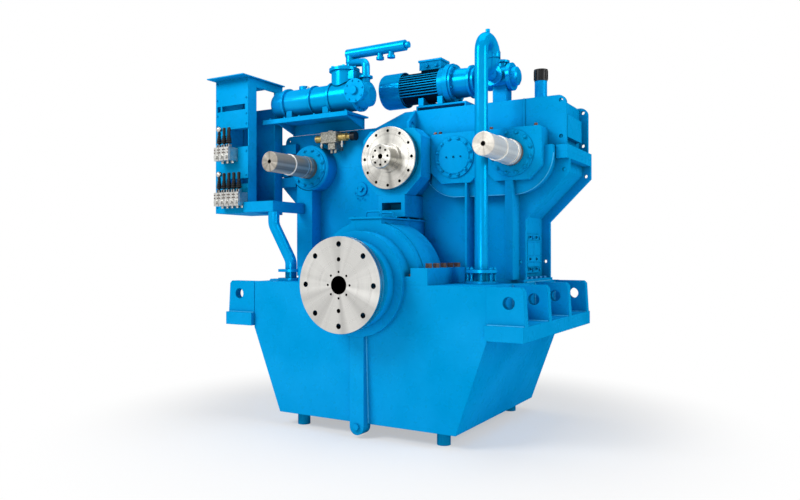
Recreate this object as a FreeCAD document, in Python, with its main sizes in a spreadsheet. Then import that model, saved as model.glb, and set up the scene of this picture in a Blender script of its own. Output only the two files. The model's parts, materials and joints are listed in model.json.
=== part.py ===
import FreeCAD, Part
import math
import os
import Sketcher

# Marine reduction gearbox. Millimetres, X to starboard, Y aft, Z up.
# The origin is the centre of the output flange's front face.

os.makedirs("parts", exist_ok=True)
document = FreeCAD.newDocument("marine_gearbox")
sheet = document.addObject("Spreadsheet::Sheet", "sizes")
sub_parts = []
size_names = []


class Size:
    """A length of the sheet, or a sum of such lengths: its text binds, its number places."""

    def __init__(self, text, read):
        self.text = text
        self.read = read

    def __float__(self):
        return float(self.read())

    def __add__(self, other):
        return joined(self, "+", other, lambda a, b: a + b)

    def __radd__(self, other):
        return joined(other, "+", self, lambda a, b: a + b)

    def __sub__(self, other):
        return joined(self, "-", other, lambda a, b: a - b)

    def __rsub__(self, other):
        return joined(other, "-", self, lambda a, b: a - b)

    def __mul__(self, other):
        return joined(self, "*", other, lambda a, b: a * b)

    def __rmul__(self, other):
        return joined(other, "*", self, lambda a, b: a * b)

    def __truediv__(self, other):
        return joined(self, "/", other, lambda a, b: a / b)

    def __neg__(self):
        return joined(0, "-", self, lambda a, b: a - b)


def text_of(length):
    return length.text if isinstance(length, Size) else str(length)


def joined(first, sign, second, work):
    text = f"({text_of(first)} {sign} {text_of(second)})"
    return Size(text, lambda: work(float(first), float(second)))


def size(name, number, meaning):
    """Writes one driving dimension to the sheet and gives it back by name."""
    row = len(size_names) + 1
    size_names.append(name)
    sheet.set(f"A{row}", meaning)
    sheet.set(f"B{row}", str(number))
    sheet.setAlias(f"B{row}", name)
    sheet.recompute()
    return Size(f"sizes.{name}", lambda: sheet.get(name))


# Output shaft and its flange
flange_radius = size("flange_radius", 350, "output flange")
flange_thick = size("flange_thick", 59, "output flange")
flange_circle = size("flange_circle", 295, "radius of the output flange's bolt circle")
flange_hole = size("flange_hole", 19.5, "radius of each hole in the output flange")
flange_holes = size("flange_holes", 8, "holes in the output flange")
output_bore = size("output_bore", 66, "radius of the bore in the output shaft")
output_bore_deep = size("output_bore_deep", 240, "depth of that bore")
tap_circle = size("tap_circle", 95, "radius of the circle of tapped holes round the bore")
tap_hole = size("tap_hole", 8, "radius of each tapped hole")
jacking_circle = size("jacking_circle", 185, "distance of the two jacking holes from the axis")
jacking_hole = size("jacking_hole", 15, "radius of each jacking hole")
output_journal = size("output_journal", 150, "radius of the output shaft in its bearings")
output_seat = size("output_seat", 175, "radius of the output shaft under the bull gear")
collar_radius = size("collar_radius", 300, "thrust collar")
collar_thick = size("collar_thick", 80, "thrust collar")

# Gears
gear_module = size("gear_module", 20, "module of every gear")
bull_teeth = size("bull_teeth", 75, "teeth of the bull gear")
pinion_teeth = size("pinion_teeth", 24, "teeth of each gear of the upper row")
bull_width = size("bull_width", 180, "face width of the bull gear and its pinion")
train_width = size("train_width", 130, "face width of the upper row")
gear_backlash = size("gear_backlash", 1.2, "play between two flanks")
row_height = bull_teeth * gear_module / 2 + pinion_teeth * gear_module / 2
row_pitch = pinion_teeth * gear_module

# Clearances
running_play = size("running_play", 0.08, "radial play of a shaft in its bearing")
face_play = size("face_play", 0.3, "play between faces that turn past each other")
seal_play = size("seal_play", 1, "radial gap of a shaft in its cover")

# Lower casing
hull_front = size("hull_front", 268, "front face of the lower casing")
hull_length = size("hull_length", 1575, "lower casing along the shaft")
hull_half = size("hull_half", 1029, "half width of the lower casing at its deck")
hull_fold = size("hull_fold", 377, "depth of the fold below the deck")
hull_floor_half = size("hull_floor_half", 783, "half width of the casing floor")
hull_depth = size("hull_depth", 1047, "depth of the casing floor below the deck")
hull_wall = size("hull_wall", 30, "plate of the lower casing")
hull_lean = size("hull_lean", 29, "how far the front plate leans in at the floor")
deck_thick = size("deck_thick", 40, "deck of the lower casing")
bar_half = size("bar_half", 62, "half width of the drain duct on the front")
bar_thick = size("bar_thick", 35, "how far the drain duct stands out")
bar_top = size("bar_top", 330, "top of the drain duct below the axis")
bar_end = size("bar_end", 1063, "centre of the duct's round end below the axis")
foot_radius = size("foot_radius", 50, "transport foot")
foot_high = size("foot_high", 102, "transport foot")
foot_across = size("foot_across", 632, "foot to the middle plane")
foot_inset = size("foot_inset", 150, "foot to the casing's front face")
foot_spacing = size("foot_spacing", 1290, "front foot to rear foot")

# Mounting rails
rail_out = size("rail_out", 277, "how far a rail stands out from the casing")
rail_low = size("rail_low", 362, "underside of a rail below the axis")
rail_high = size("rail_high", 104, "height of a rail")
rail_front = size("rail_front", 39, "how far a rail stands before the casing")
rail_wall = size("rail_wall", 30, "plate of a rail")
lug_top_out = size("lug_top_out", 263, "how far a lug plate stands out at its top")
lug_thick = size("lug_thick", 62, "lug plate")
lug_spacing = size("lug_spacing", 488, "one lug plate to the next")
lug_hole = size("lug_hole", 43, "radius of a lifting hole")
lug_hole_out = size("lug_hole_out", 161, "lifting hole to the casing side")
lug_hole_low = size("lug_hole_low", 105, "lifting hole below the deck")
bed_bolt_hole = size("bed_bolt_hole", 21, "radius of a foundation bolt hole")
bed_bolt_out = size("bed_bolt_out", 185, "foundation bolt to the casing side")

# Output bearing housing
boss_radius = size("boss_radius", 395, "boss round the output shaft")
boss_stand = size("boss_stand", 40, "how far the boss stands before the casing")
seal_cover_radius = size("seal_cover_radius", 325, "output seal cover")
seal_cover_thick = size("seal_cover_thick", 100, "output seal cover")
bearing_radius = size("bearing_radius", 215, "outside of an output bearing")
bearing_wide = size("bearing_wide", 110, "output bearing")
cap_radius = size("cap_radius", 475, "upper half of the thrust housing")
cap_wall = size("cap_wall", 45, "wall of the thrust housing")
cap_front = size("cap_front", 358, "front of the thrust housing")
cap_length = size("cap_length", 366, "thrust housing along the shaft")
tunnel_radius = size("tunnel_radius", 300, "shaft tunnel behind the thrust housing")
saddle_radius = size("saddle_radius", 300, "saddle under an output bearing")
block_half_in = size("block_half_in", 440, "inner side of a bolting block")
block_half_out = size("block_half_out", 576, "outer side of a bolting block")
block_high = size("block_high", 121, "bolting block")
cap_bolt_radius = size("cap_bolt_radius", 27, "corner radius of a cap bolt's head")
cap_bolt_high = size("cap_bolt_high", 34, "head of a cap bolt")
cap_bolt_pitch = size("cap_bolt_pitch", 118, "one cap bolt to the next")
cap_bolts = size("cap_bolts", 5, "cap bolts on a side")
hatch_half = size("hatch_half", 137, "half width of the inspection box")
hatch_top = size("hatch_top", 503, "top of its lid")
lid_thick = size("lid_thick", 14, "inspection lid")
lid_edge = size("lid_edge", 12, "how far the lid overhangs")
grab_wide = size("grab_wide", 130, "grab handle between its legs")
grab_high = size("grab_high", 48, "grab handle")
grab_wire = size("grab_wire", 7, "radius of a grab handle's wire")

# Upper casing
plate_front = size("plate_front", 1048, "front plate of the upper casing")
plate_thick = size("plate_thick", 30, "front and rear plate")
neck_length = size("neck_length", 615, "front of the front plate to the rear of the rear plate")
neck_half = size("neck_half", 1020, "half width of the neck's plates")
neck_high = size("neck_high", 490, "height at which the casing widens")
wing_half = size("wing_half", 1364, "half width of the wings")
wing_inset = size("wing_inset", 70, "side wall inside the plates' edges")
casing_wall = size("casing_wall", 25, "side walls of the upper casing")
foot_flange = size("foot_flange", 25, "flange on the deck")
split_flange = size("split_flange", 51, "half of the split flange")
cover_half = size("cover_half", 1340, "half width of the top cover")
cover_top = size("cover_top", 1423, "top of the right part of the cover")
cover_low_top = size("cover_low_top", 1315, "top of its left part")
slope_right = size("slope_right", 52, "top of the slope, left of the middle")
slope_left = size("slope_left", 342, "foot of the slope, left of the middle")
cover_corner = size("cover_corner", 62, "rounded corner of the cover")
corner_hole = size("corner_hole", 15, "radius of a hole in a plate's corner")
corner_hole_in = size("corner_hole_in", 40, "that hole to the plate's edges")

# Upper bearings and shafts
journal = size("journal", 97, "radius of an upper shaft in its bearings")
upper_bearing = size("upper_bearing", 150, "outside radius of an upper bearing")
upper_bearing_wide = size("upper_bearing_wide", 82, "upper bearing")
bearing_boss = size("bearing_boss", 190, "boss in a casing wall")
bearing_boss_deep = size("bearing_boss_deep", 60, "that boss behind the wall")
pto_end = size("pto_end", 370, "front end of a power take-off shaft")
pto_radius = size("pto_radius", 85, "end of a power take-off shaft")
pto_step = size("pto_step", 92, "radius behind the first shoulder")
pto_step_at = size("pto_step_at", 250, "first shoulder behind the end")
shaft_centre_hole = size("shaft_centre_hole", 17, "centre hole in a shaft end")
housing_front = size("housing_front", 908, "front face of the side housings")
housing_half = size("housing_half", 239, "half width of a side housing")
housing_rise = size("housing_rise", 194, "side housing above the axis")
housing_drop = size("housing_drop", 207, "side housing below the axis")
housing_cut = size("housing_cut", 103, "lower chamfer of a side housing")
housing_gap = size("housing_gap", 10, "groove between the two right housings")
ledge_radius = size("ledge_radius", 310, "ledge round the right housings")
ledge_thick = size("ledge_thick", 90, "ledge round the right housings")
round_housing = size("round_housing", 204, "left housing")
side_cover = size("side_cover", 178, "cover ring of a side housing")
side_cover_thick = size("side_cover_thick", 14, "cover ring of a side housing")
blind_cover = size("blind_cover", 166, "blind cover")
blind_rise = size("blind_rise", 137, "raised middle of the blind cover")
rear_cover = size("rear_cover", 185, "rear cover of an upper shaft")
rear_cover_thick = size("rear_cover_thick", 25, "rear cover")

# Input housing and flange
input_front = size("input_front", 738, "front face of the input housing")
input_half = size("input_half", 270, "half width of the input housing")
input_rise = size("input_rise", 236, "input housing above the axis")
input_drop = size("input_drop", 291, "input housing below the axis")
input_cut = size("input_cut", 135, "lower chamfer of the input housing")
input_top_cut = size("input_top_cut", 70, "upper chamfer of the input housing")
disc_radius = size("disc_radius", 251.5, "input flange")
disc_face = size("disc_face", 679, "front face of the input flange")
disc_thick = size("disc_thick", 41, "input flange")
disc_circle = size("disc_circle", 218, "radius of the input flange's bolt circle")
disc_hole = size("disc_hole", 11, "radius of each hole in the input flange")
disc_holes = size("disc_holes", 12, "holes in the input flange")
hub_radius = size("hub_radius", 95, "boss before the input flange")
hub_long = size("hub_long", 114, "boss before the input flange")
hub_circle = size("hub_circle", 66, "radius of the boss's circle of holes")
hub_hole = size("hub_hole", 9, "radius of each of them")
hub_bore = size("hub_bore", 20, "centre hole of the boss")
column_half = size("column_half", 124, "column under the input housing")
column_low = size("column_low", 420, "foot of that column")
window_half = size("window_half", 90, "opening in the column, half width")
window_low = size("window_low", 576, "lower edge of that opening")
window_high = size("window_high", 60, "height of that opening")
window_deep = size("window_deep", 150, "depth of that opening")
pillar_in = size("pillar_in", 927, "inner side of the left pillar")
pillar_out = size("pillar_out", 1097, "outer side of the left pillar")
rib_thin_at = size("rib_thin_at", 579, "middle of the thin rib")
rib_thin = size("rib_thin", 18, "thin rib")
rib_wide_at = size("rib_wide_at", 938, "middle of the wide rib")
rib_wide = size("rib_wide", 64, "wide rib")

# Pump set on the cover
pump_line_y = size("pump_line_y", 1355, "pump set, behind the origin")
pump_line_z = size("pump_line_z", 1686, "pump set, above the origin")
motor_left = size("motor_left", -426, "left end of the fan cowl")
cowl_long = size("cowl_long", 209, "fan cowl")
cowl_radius = size("cowl_radius", 158, "fan cowl")
motor_long = size("motor_long", 487, "motor body with its flange")
motor_radius = size("motor_radius", 136, "motor body under its fins")
fin_high = size("fin_high", 20, "cooling fin")
fin_thick = size("fin_thick", 7, "cooling fin")
fins_side = size("fins_side", 9, "cooling fins on a side")
fin_pitch = size("fin_pitch", 22, "one cooling fin to the next")
motor_bore = size("motor_bore", 112, "inside radius of the motor")
motor_flange = size("motor_flange", 175, "flange of the motor")
motor_flange_thick = size("motor_flange_thick", 45, "flange of the motor")
rotor_shaft = size("rotor_shaft", 24, "radius of the motor's shaft")
rotor_core = size("rotor_core", 100, "radius of the rotor")
fan_radius = size("fan_radius", 130, "motor's fan")
bell_long = size("bell_long", 184, "housing between motor and pump")
bell_radius = size("bell_radius", 128, "housing between motor and pump")
pump_long = size("pump_long", 400, "pump")
pump_radius = size("pump_radius", 92, "pump")
plinth_half = size("plinth_half", 130, "half width of the pump set's plinth")

# Suction pipe
pipe_radius = size("pipe_radius", 50, "suction pipe")
suction_x = size("suction_x", 806, "suction pipe to starboard")
suction_y = size("suction_y", 692, "suction pipe behind the origin")
suction_top = size("suction_top", 1852, "middle of the pipe at its top")
bend_pitch = size("bend_pitch", 245, "first leg to second leg")
pipe_flange = size("pipe_flange", 118, "pipe flange")
pipe_flange_thick = size("pipe_flange_thick", 22, "pipe flange")
stud_gap = size("stud_gap", 62, "between the pipe flanges")
stud_radius = size("stud_radius", 9, "stud of the pipe flanges")
return_x = size("return_x", -854, "return pipe, at its flange")
return_radius = size("return_radius", 48, "return pipe")
return_y = size("return_y", 522, "return pipe behind the origin")
return_top_x = size("return_top_x", -1040, "return pipe, at the control stand's beam")

# Breather
breather_x = size("breather_x", 1038, "breather to starboard")
breather_radius = size("breather_radius", 50, "breather tube")
breather_top = size("breather_top", 1616, "top of the breather tube")
breather_cap_radius = size("breather_cap_radius", 58, "breather cap")
breather_cap_high = size("breather_cap_high", 92, "breather cap")

# Filter
filter_left = size("filter_left", -1304, "left end of the filter vessel")
filter_long = size("filter_long", 905, "filter vessel")
filter_radius = size("filter_radius", 120, "filter vessel")
filter_y = size("filter_y", 868, "filter, behind the origin")
filter_z = size("filter_z", 1570, "filter, above the origin")
filter_band = size("filter_band", 138, "joint ring of the filter")
filter_band_wide = size("filter_band_wide", 26, "joint ring of the filter")
tray_thick = size("tray_thick", 14, "filter tray")
tray_half = size("tray_half", 150, "half width of the filter tray")
manifold_z = size("manifold_z", 1966, "manifold above the origin")
manifold_radius = size("manifold_radius", 45, "manifold")
riser_radius = size("riser_radius", 34, "riser pipe from the change-over valve")
valve_outlet = size("valve_outlet", 138, "valve's outlet flange above the filter's axis")
feed_height = size("feed_height", 1846, "riser's bend above the change-over valve")
nozzle_radius = size("nozzle_radius", 26, "nozzle of the manifold")

# Control stand
stand_left = size("stand_left", -1740, "left side of the control stand")
stand_right = size("stand_right", -1341, "right side of the control stand")
stand_front = size("stand_front", 532, "front of the control stand")
stand_low = size("stand_low", 584, "foot of the control stand")
stand_top = size("stand_top", 1775, "top of the control stand")
stand_sheet = size("stand_sheet", 12, "plate of the control stand")
section_wide = size("section_wide", 58, "section of a valve block")
lever_long = size("lever_long", 150, "hand lever")
lever_radius = size("lever_radius", 8, "hand lever")
knob_radius = size("knob_radius", 21, "knob")


def at(text_or_size):
    return text_or_size.text if isinstance(text_or_size, Size) else str(text_or_size)


def bind(thing, path, length):
    """Ties one property to the sheet, or sets it when the length is a plain number."""
    thing.setExpression(path, at(length))


def place(thing, x=0, y=0, z=0):
    for letter, length in zip("xyz", (x, y, z)):
        bind(thing, f"Placement.Base.{letter}", length)
    return thing


def block(x, y, z):
    """A box between two lengths on each axis."""
    solid = document.addObject("Part::Box", "block")
    for side, (low, high) in zip(("Length", "Width", "Height"), (x, y, z)):
        bind(solid, side, high - low)
    return place(solid, x[0], y[0], z[0])


TURNS = {
    "X": FreeCAD.Rotation(FreeCAD.Vector(0, 1, 0), 90),
    "Y": FreeCAD.Rotation(FreeCAD.Vector(1, 0, 0), -90),
    "Z": FreeCAD.Rotation(),
}


def rod(axis, centre, along, radius):
    """A round bar along an axis, its centre given on the two other axes."""
    solid = document.addObject("Part::Cylinder", "rod")
    bind(solid, "Radius", radius)
    bind(solid, "Height", along[1] - along[0])
    solid.Placement = FreeCAD.Placement(FreeCAD.Vector(), TURNS[axis])
    spot = list(centre)
    spot.insert("XYZ".index(axis), along[0])
    return place(solid, *spot)


def hexagon(spot, radius, tall):
    """A bolt head standing on its seat, by the radius of its corners."""
    solid = document.addObject("Part::Prism", "head")
    solid.Polygon = 6
    bind(solid, "Circumradius", radius)
    bind(solid, "Height", tall)
    return place(solid, *spot)


def fused(*things):
    whole = document.addObject("Part::MultiFuse", "fused")
    whole.Shapes = list(things)
    return whole


def cut(base, *tools):
    result = document.addObject("Part::Cut", "cut")
    result.Base = base
    result.Tool = tools[0] if len(tools) == 1 else fused(*tools)
    return result


def shared(first, second):
    result = document.addObject("Part::Common", "shared")
    result.Base = first
    result.Tool = second
    return result


def group(things):
    """Separate solids that share one node."""
    compound = document.addObject("Part::Compound", "group")
    compound.Links = list(things)
    return compound


def keep(thing, label):
    """Names a finished sub-part, which is written to a file of that name."""
    thing.Label = label
    sub_parts.append(thing)
    return thing


def outline(body, role, corners):
    """A closed sketch of straight lines on one of the body's own planes, every corner bound."""
    plane = next(item for item in body.Origin.OriginFeatures if item.Role == role)
    sketch = body.newObject("Sketcher::SketchObject", "outline")
    sketch.AttachmentSupport = [(plane, "")]
    sketch.MapMode = "FlatFace"
    spots = [FreeCAD.Vector(float(a), float(b), 0) for a, b in corners]
    count = len(spots)
    sketch.addGeometry([Part.LineSegment(spots[i], spots[(i + 1) % count]) for i in range(count)])
    for i in range(count):
        sketch.addConstraint(Sketcher.Constraint("Coincident", i, 2, (i + 1) % count, 1))
    for i, corner in enumerate(corners):
        for kind, length in zip(("DistanceX", "DistanceY"), corner):
            rule = sketch.addConstraint(Sketcher.Constraint(kind, -1, 1, i, 1, float(length)))
            if isinstance(length, Size):
                sketch.setExpression(f"Constraints[{rule}]", length.text)
    return sketch


def padded(plane, corners, along):
    """A profile drawn across one axis and padded between two lengths of that axis."""
    body = document.addObject("PartDesign::Body", "padded")
    sketch = outline(body, plane + "_Plane", corners)
    pad = body.newObject("PartDesign::Pad", "pad")
    pad.Profile = sketch
    bind(pad, "Length", along[1] - along[0])
    pad.Reversed = plane == "XZ"
    sketch.Visibility = False
    spot = {"XZ": (0, along[0], 0), "YZ": (along[0], 0, 0), "XY": (0, 0, along[0])}[plane]
    return place(body, *spot)


def turned(axis, steps, spot=(0, 0, 0)):
    """A turned piece: (place along the axis, radius) steps, closed on the axis."""
    body = document.addObject("PartDesign::Body", "turned")
    role = {"X": "XZ_Plane", "Y": "YZ_Plane", "Z": "XZ_Plane"}[axis]
    corners = [(radius, along) if axis == "Z" else (along, radius) for along, radius in steps]
    sketch = outline(body, role, corners)
    revolution = body.newObject("PartDesign::Revolution", "revolution")
    revolution.Profile = sketch
    revolution.ReferenceAxis = (sketch, ["V_Axis" if axis == "Z" else "H_Axis"])
    revolution.Angle = 360
    sketch.Visibility = False
    return place(body, *spot)


def bored(body, distance, radius, deep, count=1):
    """Round holes in the face at the body's own XZ plane, in a ring about its Y axis."""
    plane = next(item for item in body.Origin.OriginFeatures if item.Role == "XZ_Plane")
    sketch = body.newObject("Sketcher::SketchObject", "hole_outline")
    sketch.AttachmentSupport = [(plane, "")]
    sketch.MapMode = "FlatFace"
    centre = FreeCAD.Vector(float(distance), 0, 0)
    sketch.addGeometry(Part.Circle(centre, FreeCAD.Vector(0, 0, 1), float(radius)))
    for kind, path, length in (
        ("DistanceX", (-1, 1, 0, 3), distance),
        ("DistanceY", (-1, 1, 0, 3), 0),
        ("Radius", (0,), radius),
    ):
        rule = sketch.addConstraint(Sketcher.Constraint(kind, *path, float(length)))
        if isinstance(length, Size):
            sketch.setExpression(f"Constraints[{rule}]", length.text)
    document.recompute()
    pocket = body.newObject("PartDesign::Pocket", "holes")
    pocket.Profile = sketch
    bind(pocket, "Length", deep)
    sketch.Visibility = False
    body.Tip = pocket
    if at(count) != "1":
        pattern = body.newObject("PartDesign::PolarPattern", "ring_of_holes")
        pattern.Originals = [pocket]
        pattern.Axis = (sketch, ["N_Axis"])
        pattern.Angle = 360
        bind(pattern, "Occurrences", count)
        body.Tip = pattern
    document.recompute()
    return body


def drawn(shape, x=0, y=0, z=0):
    """A shape made from the sheet's numbers, for what no profile or primitive fits."""
    feature = document.addObject("Part::Feature", "drawn")
    feature.Shape = shape
    return place(feature, x, y, z)


def gear(centre_x, centre_z, teeth, bore, along, tooth_at):
    """A spur gear along Y with flat flanks, one tooth at the given angle."""
    pressure = math.radians(20)
    step = float(gear_module)
    count = int(float(teeth))
    pitch_radius = step * count / 2
    base = pitch_radius * math.cos(pressure)
    spread = math.tan(pressure) - pressure
    half_at_pitch = math.pi / (2 * count) - float(gear_backlash) / (2 * pitch_radius)

    def half_angle(radius):
        local = math.acos(min(1, base / radius))
        return half_at_pitch + spread - (math.tan(local) - local)

    root = max(pitch_radius - 1.25 * step, base * 0.965)
    tip = pitch_radius + step
    points = []
    for tooth in range(count):
        middle = math.radians(tooth_at) + 2 * math.pi * tooth / count
        wide = half_angle(max(base, root))
        for radius, angle in (
            (root, middle - wide),
            (tip, middle - half_angle(tip)),
            (tip, middle + half_angle(tip)),
            (root, middle + wide),
        ):
            points.append(FreeCAD.Vector(radius * math.cos(angle), 0, radius * math.sin(angle)))
    points.append(points[0])
    face = Part.Face(Part.makePolygon(points))
    width = float(along[1]) - float(along[0])
    blank = face.extrude(FreeCAD.Vector(0, width, 0))
    hole = Part.makeCylinder(float(bore), width, FreeCAD.Vector(), FreeCAD.Vector(0, 1, 0))
    return drawn(blank.cut(hole), centre_x, along[0], centre_z)


def piped(points, radius, bends):
    """A round pipe of straight runs and one arc at each inner point."""
    spots = [FreeCAD.Vector(*(float(length) for length in point)) for point in points]
    edges = []
    start = spots[0]
    for i, bend in enumerate(bends, 1):
        into = (spots[i] - spots[i - 1]).normalize()
        out = (spots[i + 1] - spots[i]).normalize()
        turn = into.getAngle(out)
        reach = float(bend) * math.tan(turn / 2)
        first = spots[i] - into * reach
        last = spots[i] + out * reach
        inward = (out - into).normalize()
        middle = spots[i] + inward * (float(bend) / math.cos(turn / 2) - float(bend))
        edges.append(Part.LineSegment(start, first).toShape())
        edges.append(Part.Arc(first, middle, last).toShape())
        start = last
    edges.append(Part.LineSegment(start, spots[-1]).toShape())
    ring = Part.Wire(Part.Circle(spots[0], spots[1] - spots[0], float(radius)).toShape())
    return drawn(Part.Wire(edges).makePipeShell([ring], True, False))


# Places that follow from the sizes above
drain_shank = size("drain_shank", 16, "shank of the drain plug")
rail_back = size("rail_back", 24, "end of a rail before the casing's rear")
hatch_gap = size("hatch_gap", 8, "inspection box to the front plate")
block_length = size("block_length", 633, "bolting block along the shaft")
collar_front = size("collar_front", 506, "front of the thrust collar")
bull_web_out = size("bull_web_out", 650, "outside of the bull gear's thinner web")
bull_hub = size("bull_hub", 260, "hub of the bull gear")
bull_window = size("bull_window", 105, "radius of a hole in the bull gear's web")
bull_window_at = size("bull_window_at", 455, "that hole to the axis")
strip_from = size("strip_from", 1275, "inner end of the split flange's front strip")
strip_stand = size("strip_stand", 45, "how far that strip stands before the front plate")
cover_drop = size("cover_drop", 12, "cover's roof below the plates' top edges")
eye_x = size("eye_x", 32, "lifting eye of the cover, to starboard")
eye_low = size("eye_low", 1240, "lower edge of the lifting eye")
eye_stand = size("eye_stand", 120, "how far the lifting eye stands out")
eye_thick = size("eye_thick", 24, "lifting eye")
eye_hole = size("eye_hole", 24, "radius of its hole")
input_nose = size("input_nose", 70, "radius of the input shaft in its flange")
gear_seat = size("gear_seat", 112, "radius of the input shaft under its gears")
BIG = 4000
hull_rear = hull_front + hull_length
rail_start = hull_front - rail_front
rail_stop = hull_rear - rail_back
hatch_rear = plate_front - hatch_gap
block_rear = hull_front + block_length
tunnel_rear = plate_front - 40
cap_rear = cap_front + cap_length
cavity_front = cap_front + cap_wall
cavity_rear = cap_rear - cap_wall
cavity_radius = cap_radius - cap_wall
plate_inside = plate_front + plate_thick
neck_rear = plate_front + neck_length
neck_inside = neck_rear - plate_thick
boss_front = hull_front - boss_stand
front_bearing = hull_front + 2
rear_bearing = hull_rear - bearing_wide - 13
shaft_end = rear_bearing + bearing_wide + 5
row_bearing_front = plate_inside + bearing_boss_deep - upper_bearing_wide
row_bearing_rear = neck_inside - bearing_boss_deep
row_shaft_end = row_bearing_rear + upper_bearing_wide
train_front = plate_inside + bearing_boss_deep + 32
train_rear = train_front + train_width
bull_front = train_rear + 60
bull_rear = bull_front + bull_width
deck_rear = neck_rear + 37
arch_radius = output_journal + 40
shaft_bore = journal + seal_play
row_x = {
    "left_pto": -2 * row_pitch,
    "left_idler": -row_pitch,
    "input": row_pitch * 0,
    "right_idler": row_pitch,
    "right_pto": 2 * row_pitch,
}


def span(side, near, far):
    """The two lengths of a stretch on the right side, or on the left side when side is -1."""
    return (near, far) if side > 0 else (-far, -near)


def mirrored(corners):
    """The right half of an outline, from its foot up, closed by its mirror image."""
    return corners + [(-a, b) for a, b in reversed(corners)]


def below_deck():
    return block((-BIG, BIG), (-BIG, BIG), (-BIG, 0))


def above(height):
    return block((-BIG, BIG), (-BIG, BIG), (height, height + BIG))


def below(height):
    return block((-BIG, BIG), (-BIG, BIG), (height - BIG, height))


def axle(along, radius, x=0, z=0):
    """A round bar along the shafts' direction."""
    return rod("Y", (x, z), along, radius)


def lower_casing():
    outside = padded("XZ", mirrored([
        (hull_floor_half, -hull_depth), (hull_half, -hull_fold), (hull_half, 0 * hull_half),
    ]), (hull_front, hull_rear))
    inside = padded("XZ", mirrored([
        (hull_floor_half - hull_wall, hull_wall - hull_depth),
        (hull_half - hull_wall, -hull_fold),
        (hull_half - hull_wall, -deck_thick),
    ]), (hull_front + hull_wall + hull_lean, hull_rear - hull_wall))
    lean = padded("YZ", [
        (hull_front - 1, -hull_fold),
        (hull_front, -hull_fold),
        (hull_front + hull_lean, -hull_depth),
        (hull_front - 1, -hull_depth),
    ], (-hull_half, hull_half))
    duct = fused(
        block((-bar_half, bar_half), (hull_front - bar_thick, hull_front + hull_lean),
              (-bar_end, -bar_top)),
        axle((hull_front - bar_thick, hull_front + hull_lean + hull_wall), bar_half, 0, -bar_end),
    )
    saddles = shared(fused(
        axle((boss_front, hull_front + hull_wall), boss_radius),
        axle((hull_front, cavity_front), saddle_radius),
        axle((cap_front, cap_rear), cap_radius),
        axle((rear_bearing - 30, hull_rear), saddle_radius),
    ), below_deck())
    bores = fused(
        axle((boss_front, hull_rear), output_journal + seal_play),
        axle((front_bearing, cavity_front), bearing_radius),
        axle((cavity_front, cavity_rear), cavity_radius),
        axle((cavity_rear, rear_bearing - 30), arch_radius),
        axle((rear_bearing, rear_bearing + bearing_wide), bearing_radius),
        axle((hull_front - bar_thick, hull_front), drain_shank, 0, -bar_end),
    )
    neck_clear = neck_half - wing_inset - casing_wall
    hatch = block((-neck_clear, neck_clear), (plate_inside, neck_inside), (-deck_thick - 1, 1))
    shell = cut(outside, inside, lean, hatch)
    keep(cut(fused(shell, duct, saddles), bores), "lower_casing")


def mounting_rail(side, label):
    near = hull_half
    rail = block(span(side, near, near + rail_out), (rail_start, rail_stop),
                 (-rail_low, rail_high - rail_low))
    lugs = []
    for number in range(4):
        start = hull_front - 5 + number * lug_spacing
        corners = [
            (side * near, -rail_low + rail_high),
            (side * (near + rail_out), -rail_low + rail_high),
            (side * (near + lug_top_out), -lug_thick / 3),
            (side * (near + lug_top_out - lug_thick / 3), 0 * near),
            (side * near, 0 * near),
        ]
        lugs.append(padded("XZ", corners, (start, start + lug_thick)))
    holes = [axle((rail_start, rail_stop), lug_hole, side * (near + lug_hole_out), -lug_hole_low)]
    for bay in range(3):
        middle = hull_front - 5 + lug_thick / 2 + (bay + 0.5) * lug_spacing
        holes.append(rod("Z", (side * (near + bed_bolt_out), middle),
                         (-rail_low, -rail_low + rail_high), bed_bolt_hole))
    keep(cut(fused(rail, *lugs), *holes), label)


def support_feet():
    feet = []
    for side in (-1, 1):
        for row in range(2):
            spot = (side * foot_across, hull_front + foot_inset + row * foot_spacing)
            feet.append(rod("Z", spot, (-hull_depth - foot_high, -hull_depth), foot_radius))
    keep(group(feet), "support_feet")


def drain_plug():
    front = hull_front - bar_thick
    steps = [(-16, 0), (-16, 24), (0, 24), (0, drain_shank), (bar_thick, drain_shank), (bar_thick, 0)]
    keep(turned("Y", steps, (0, front, -bar_end)), "drain_plug")


def thrust_bearing_cap():
    """Upper half of the thrust housing with its tunnel, bolting blocks and inspection box."""
    box_walls = block((-hatch_half, hatch_half), (cap_front, hatch_rear),
                      (cap_radius - 95, hatch_top - lid_thick))
    box_inside = block((20 - hatch_half, hatch_half - 20), (cap_front + 20, hatch_rear - 20),
                       (cavity_radius - 80, hatch_top))
    rounds = shared(fused(
        axle((boss_front, cap_front + 10), boss_radius),
        axle((cap_front, cap_rear), cap_radius),
        axle((cap_rear - 10, tunnel_rear), tunnel_radius),
    ), above(0 * cap_radius))
    blocks = [block(span(side, block_half_in, block_half_out), (hull_front, block_rear),
                    (0 * block_high, block_high)) for side in (-1, 1)]
    ring = shared(cut(axle((cap_front + 60, cap_front + 78), cap_radius + 8),
                      axle((cap_front + 60, cap_front + 78), cap_radius - 5)), above(block_high))
    step = [block(span(side, boss_radius - 40, block_half_in + 10), (hull_front, cap_front),
                  (0 * block_high, block_high / 2)) for side in (-1, 1)]
    bores = fused(
        axle((boss_front, tunnel_rear), output_journal + seal_play),
        axle((front_bearing, cavity_front), bearing_radius),
        axle((cavity_front, cavity_rear), cavity_radius),
        axle((cavity_rear + cap_wall, tunnel_rear), tunnel_radius - cap_wall),
    )
    whole = fused(rounds, ring, box_walls, *blocks, *step)
    keep(cut(whole, bores, box_inside), "thrust_bearing_cap")


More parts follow.
